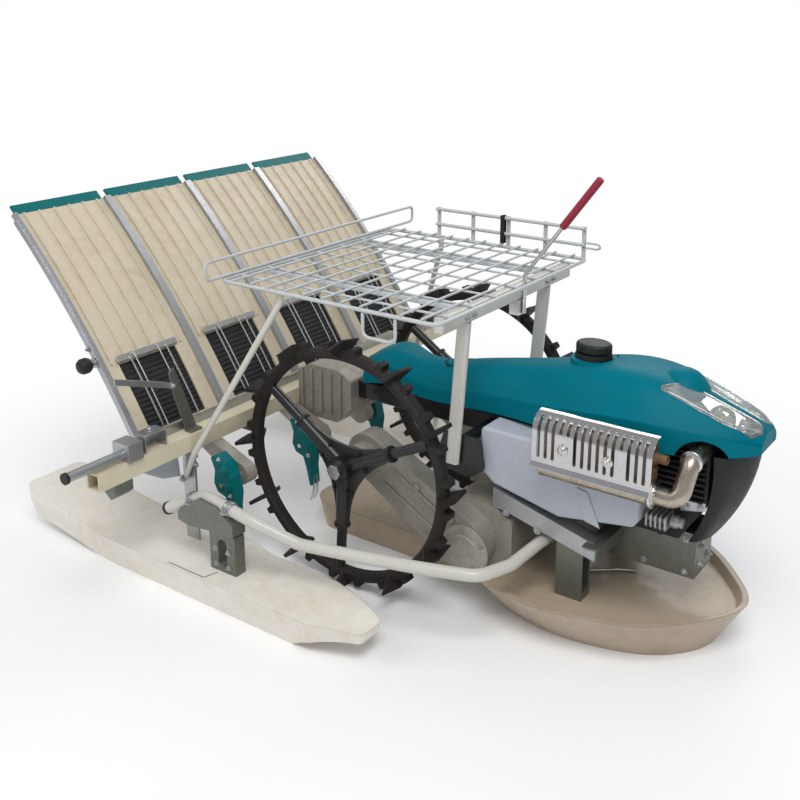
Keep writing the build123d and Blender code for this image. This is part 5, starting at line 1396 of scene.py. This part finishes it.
@dataclass(frozen=True)
class Studio:
    """A pale floor, soft lights and the photograph's camera.

    Attributes:
        camera_place: where the camera stands, in metres.
        azimuth: which way it looks, in degrees.
        elevation: how far it looks down, in degrees.
        lens: focal length on a 36 mm sensor, in millimetres.
        shift: the lens's shift.
        floor_reach: half the floor's width, in metres.
        floor_tone: darkest and lightest grey of the floor.
        fade: where the floor starts and ends its fade to white, in metres.
        sky: strength of the surround that lights the machine.
        lights: the soft lights.
    """

    camera_place: Point = (1.6539, -2.1769, 1.4611)
    azimuth: float = 35.21
    elevation: float = 16.07
    lens: float = 47.34
    shift: Pair = (-0.0158, -0.129)
    floor_reach: float = 60.0
    floor_tone: Pair = (0.93, 0.96)
    fade: Pair = (0.7, 1.9)
    sky: float = 0.46
    lights: tuple[Softbox, ...] = (
        Softbox("key_light", (1.7, -2.0, 4.0), (0.2, 0.0, 0.3), 2.2, 105.0),
        Softbox("fill_light", (-2.8, -2.2, 2.8), (0.0, 0.0, 0.4), 2.6, 38.0),
        Softbox("back_light", (-0.6, 3.4, 3.2), (0.0, 0.0, 0.5), 2.4, 50.0),
    )

    def build(self) -> None:
        """Make the floor, the lights, the background and the camera."""
        self._floor()
        for light in self.lights:
            light.hang()
        self._world()
        self._camera()
        bpy.context.scene.view_settings.view_transform = "Standard"

    def _floor(self) -> None:
        """Lay a wide pale floor."""
        mesh = bpy.data.meshes.new("floor")
        reach = self.floor_reach
        corners = [(-reach, -reach, 0), (reach, -reach, 0), (reach, reach, 0), (-reach, reach, 0)]
        mesh.from_pydata(corners, [], [(0, 1, 2, 3)])
        mesh.materials.append(self._floor_material())
        floor = bpy.data.objects.new("studio_floor", mesh)
        bpy.context.scene.collection.objects.link(floor)

    def _floor_material(self) -> bpy.types.Material:
        """Make matt paper that the camera sees fade to white.

        Returns:
            The material.
        """
        material = bpy.data.materials.new("studio_floor")
        material.use_nodes = True
        tree = material.node_tree
        tree.nodes.clear()
        place = add_node(tree, "ShaderNodeTexCoord").outputs["Object"]
        noise = add_node(tree, "ShaderNodeTexNoise", {"Vector": place, "Scale": 2.0, "Detail": 3.0})
        tone = add_node(tree, "ShaderNodeMapRange", {
            "Value": noise.outputs["Fac"], "To Min": self.floor_tone[0], "To Max": self.floor_tone[1],
        }).outputs["Result"]
        colour = add_node(tree, "ShaderNodeCombineColor", {0: tone, 1: tone, 2: tone})
        shader = add_node(tree, "ShaderNodeBsdfPrincipled", {
            "Base Color": colour.outputs[0], "Roughness": 0.85,
        })
        glow = add_node(tree, "ShaderNodeEmission", {"Color": (1.0, 1.0, 1.0, 1.0), "Strength": 1.0})
        span = add_node(tree, "ShaderNodeVectorMath", {0: place}, operation="LENGTH")
        fade = add_node(tree, "ShaderNodeMapRange", {
            "Value": span.outputs["Value"], "From Min": self.fade[0], "From Max": self.fade[1],
        }, interpolation_type="SMOOTHSTEP")
        ray = add_node(tree, "ShaderNodeLightPath")
        share = add_node(tree, "ShaderNodeMath", {
            0: fade.outputs["Result"], 1: ray.outputs["Is Camera Ray"],
        }, operation="MULTIPLY")
        mix = add_node(tree, "ShaderNodeMixShader", {
            0: share.outputs[0], 1: shader.outputs["BSDF"], 2: glow.outputs[0],
        })
        add_node(tree, "ShaderNodeOutputMaterial", {"Surface": mix.outputs[0]})
        return material

    def _world(self) -> None:
        """Light the scene from a cool surround that the camera sees as white."""
        world = bpy.data.worlds.new("studio_world")
        world.use_nodes = True
        tree = world.node_tree
        tree.nodes.clear()
        ray = add_node(tree, "ShaderNodeLightPath")
        dim = add_node(tree, "ShaderNodeBackground", {"Color": (0.93, 0.95, 1.0, 1.0), "Strength": self.sky})
        bright = add_node(tree, "ShaderNodeBackground", {"Color": (1.0, 1.0, 1.0, 1.0), "Strength": 1.0})
        mix = add_node(tree, "ShaderNodeMixShader", {
            0: ray.outputs["Is Camera Ray"], 1: dim.outputs[0], 2: bright.outputs[0],
        })
        add_node(tree, "ShaderNodeOutputWorld", {"Surface": mix.outputs[0]})
        bpy.context.scene.world = world

    def _camera(self) -> None:
        """Set the camera where the photograph was taken from."""
        data = bpy.data.cameras.new("photo_camera")
        data.sensor_width = 36.0
        data.lens = self.lens
        data.shift_x, data.shift_y = self.shift
        camera = bpy.data.objects.new("photo_camera", data)
        camera.location = self.camera_place
        camera.rotation_euler = (math.radians(90 - self.elevation), 0.0, math.radians(self.azimuth))
        bpy.context.scene.collection.objects.link(camera)
        bpy.context.scene.camera = camera


def main() -> None:
    """Dress the frame, then build the studio."""
    logging.basicConfig(level=logging.INFO)
    dress_nodes()
    LOG.info("dressed %d CAD nodes", len(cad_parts))
    for trim in (HoodTrim(), EngineTrim(), ChassisTrim(), TrayTrim(), WheelTrim(), ArmTrim(),
                 FeedTrim(), FloatTrim(), RackTrim()):
        trim.build()
        LOG.info("built %s", type(trim).__name__)
    Studio().build()


if __name__ == "__main__":
    main()
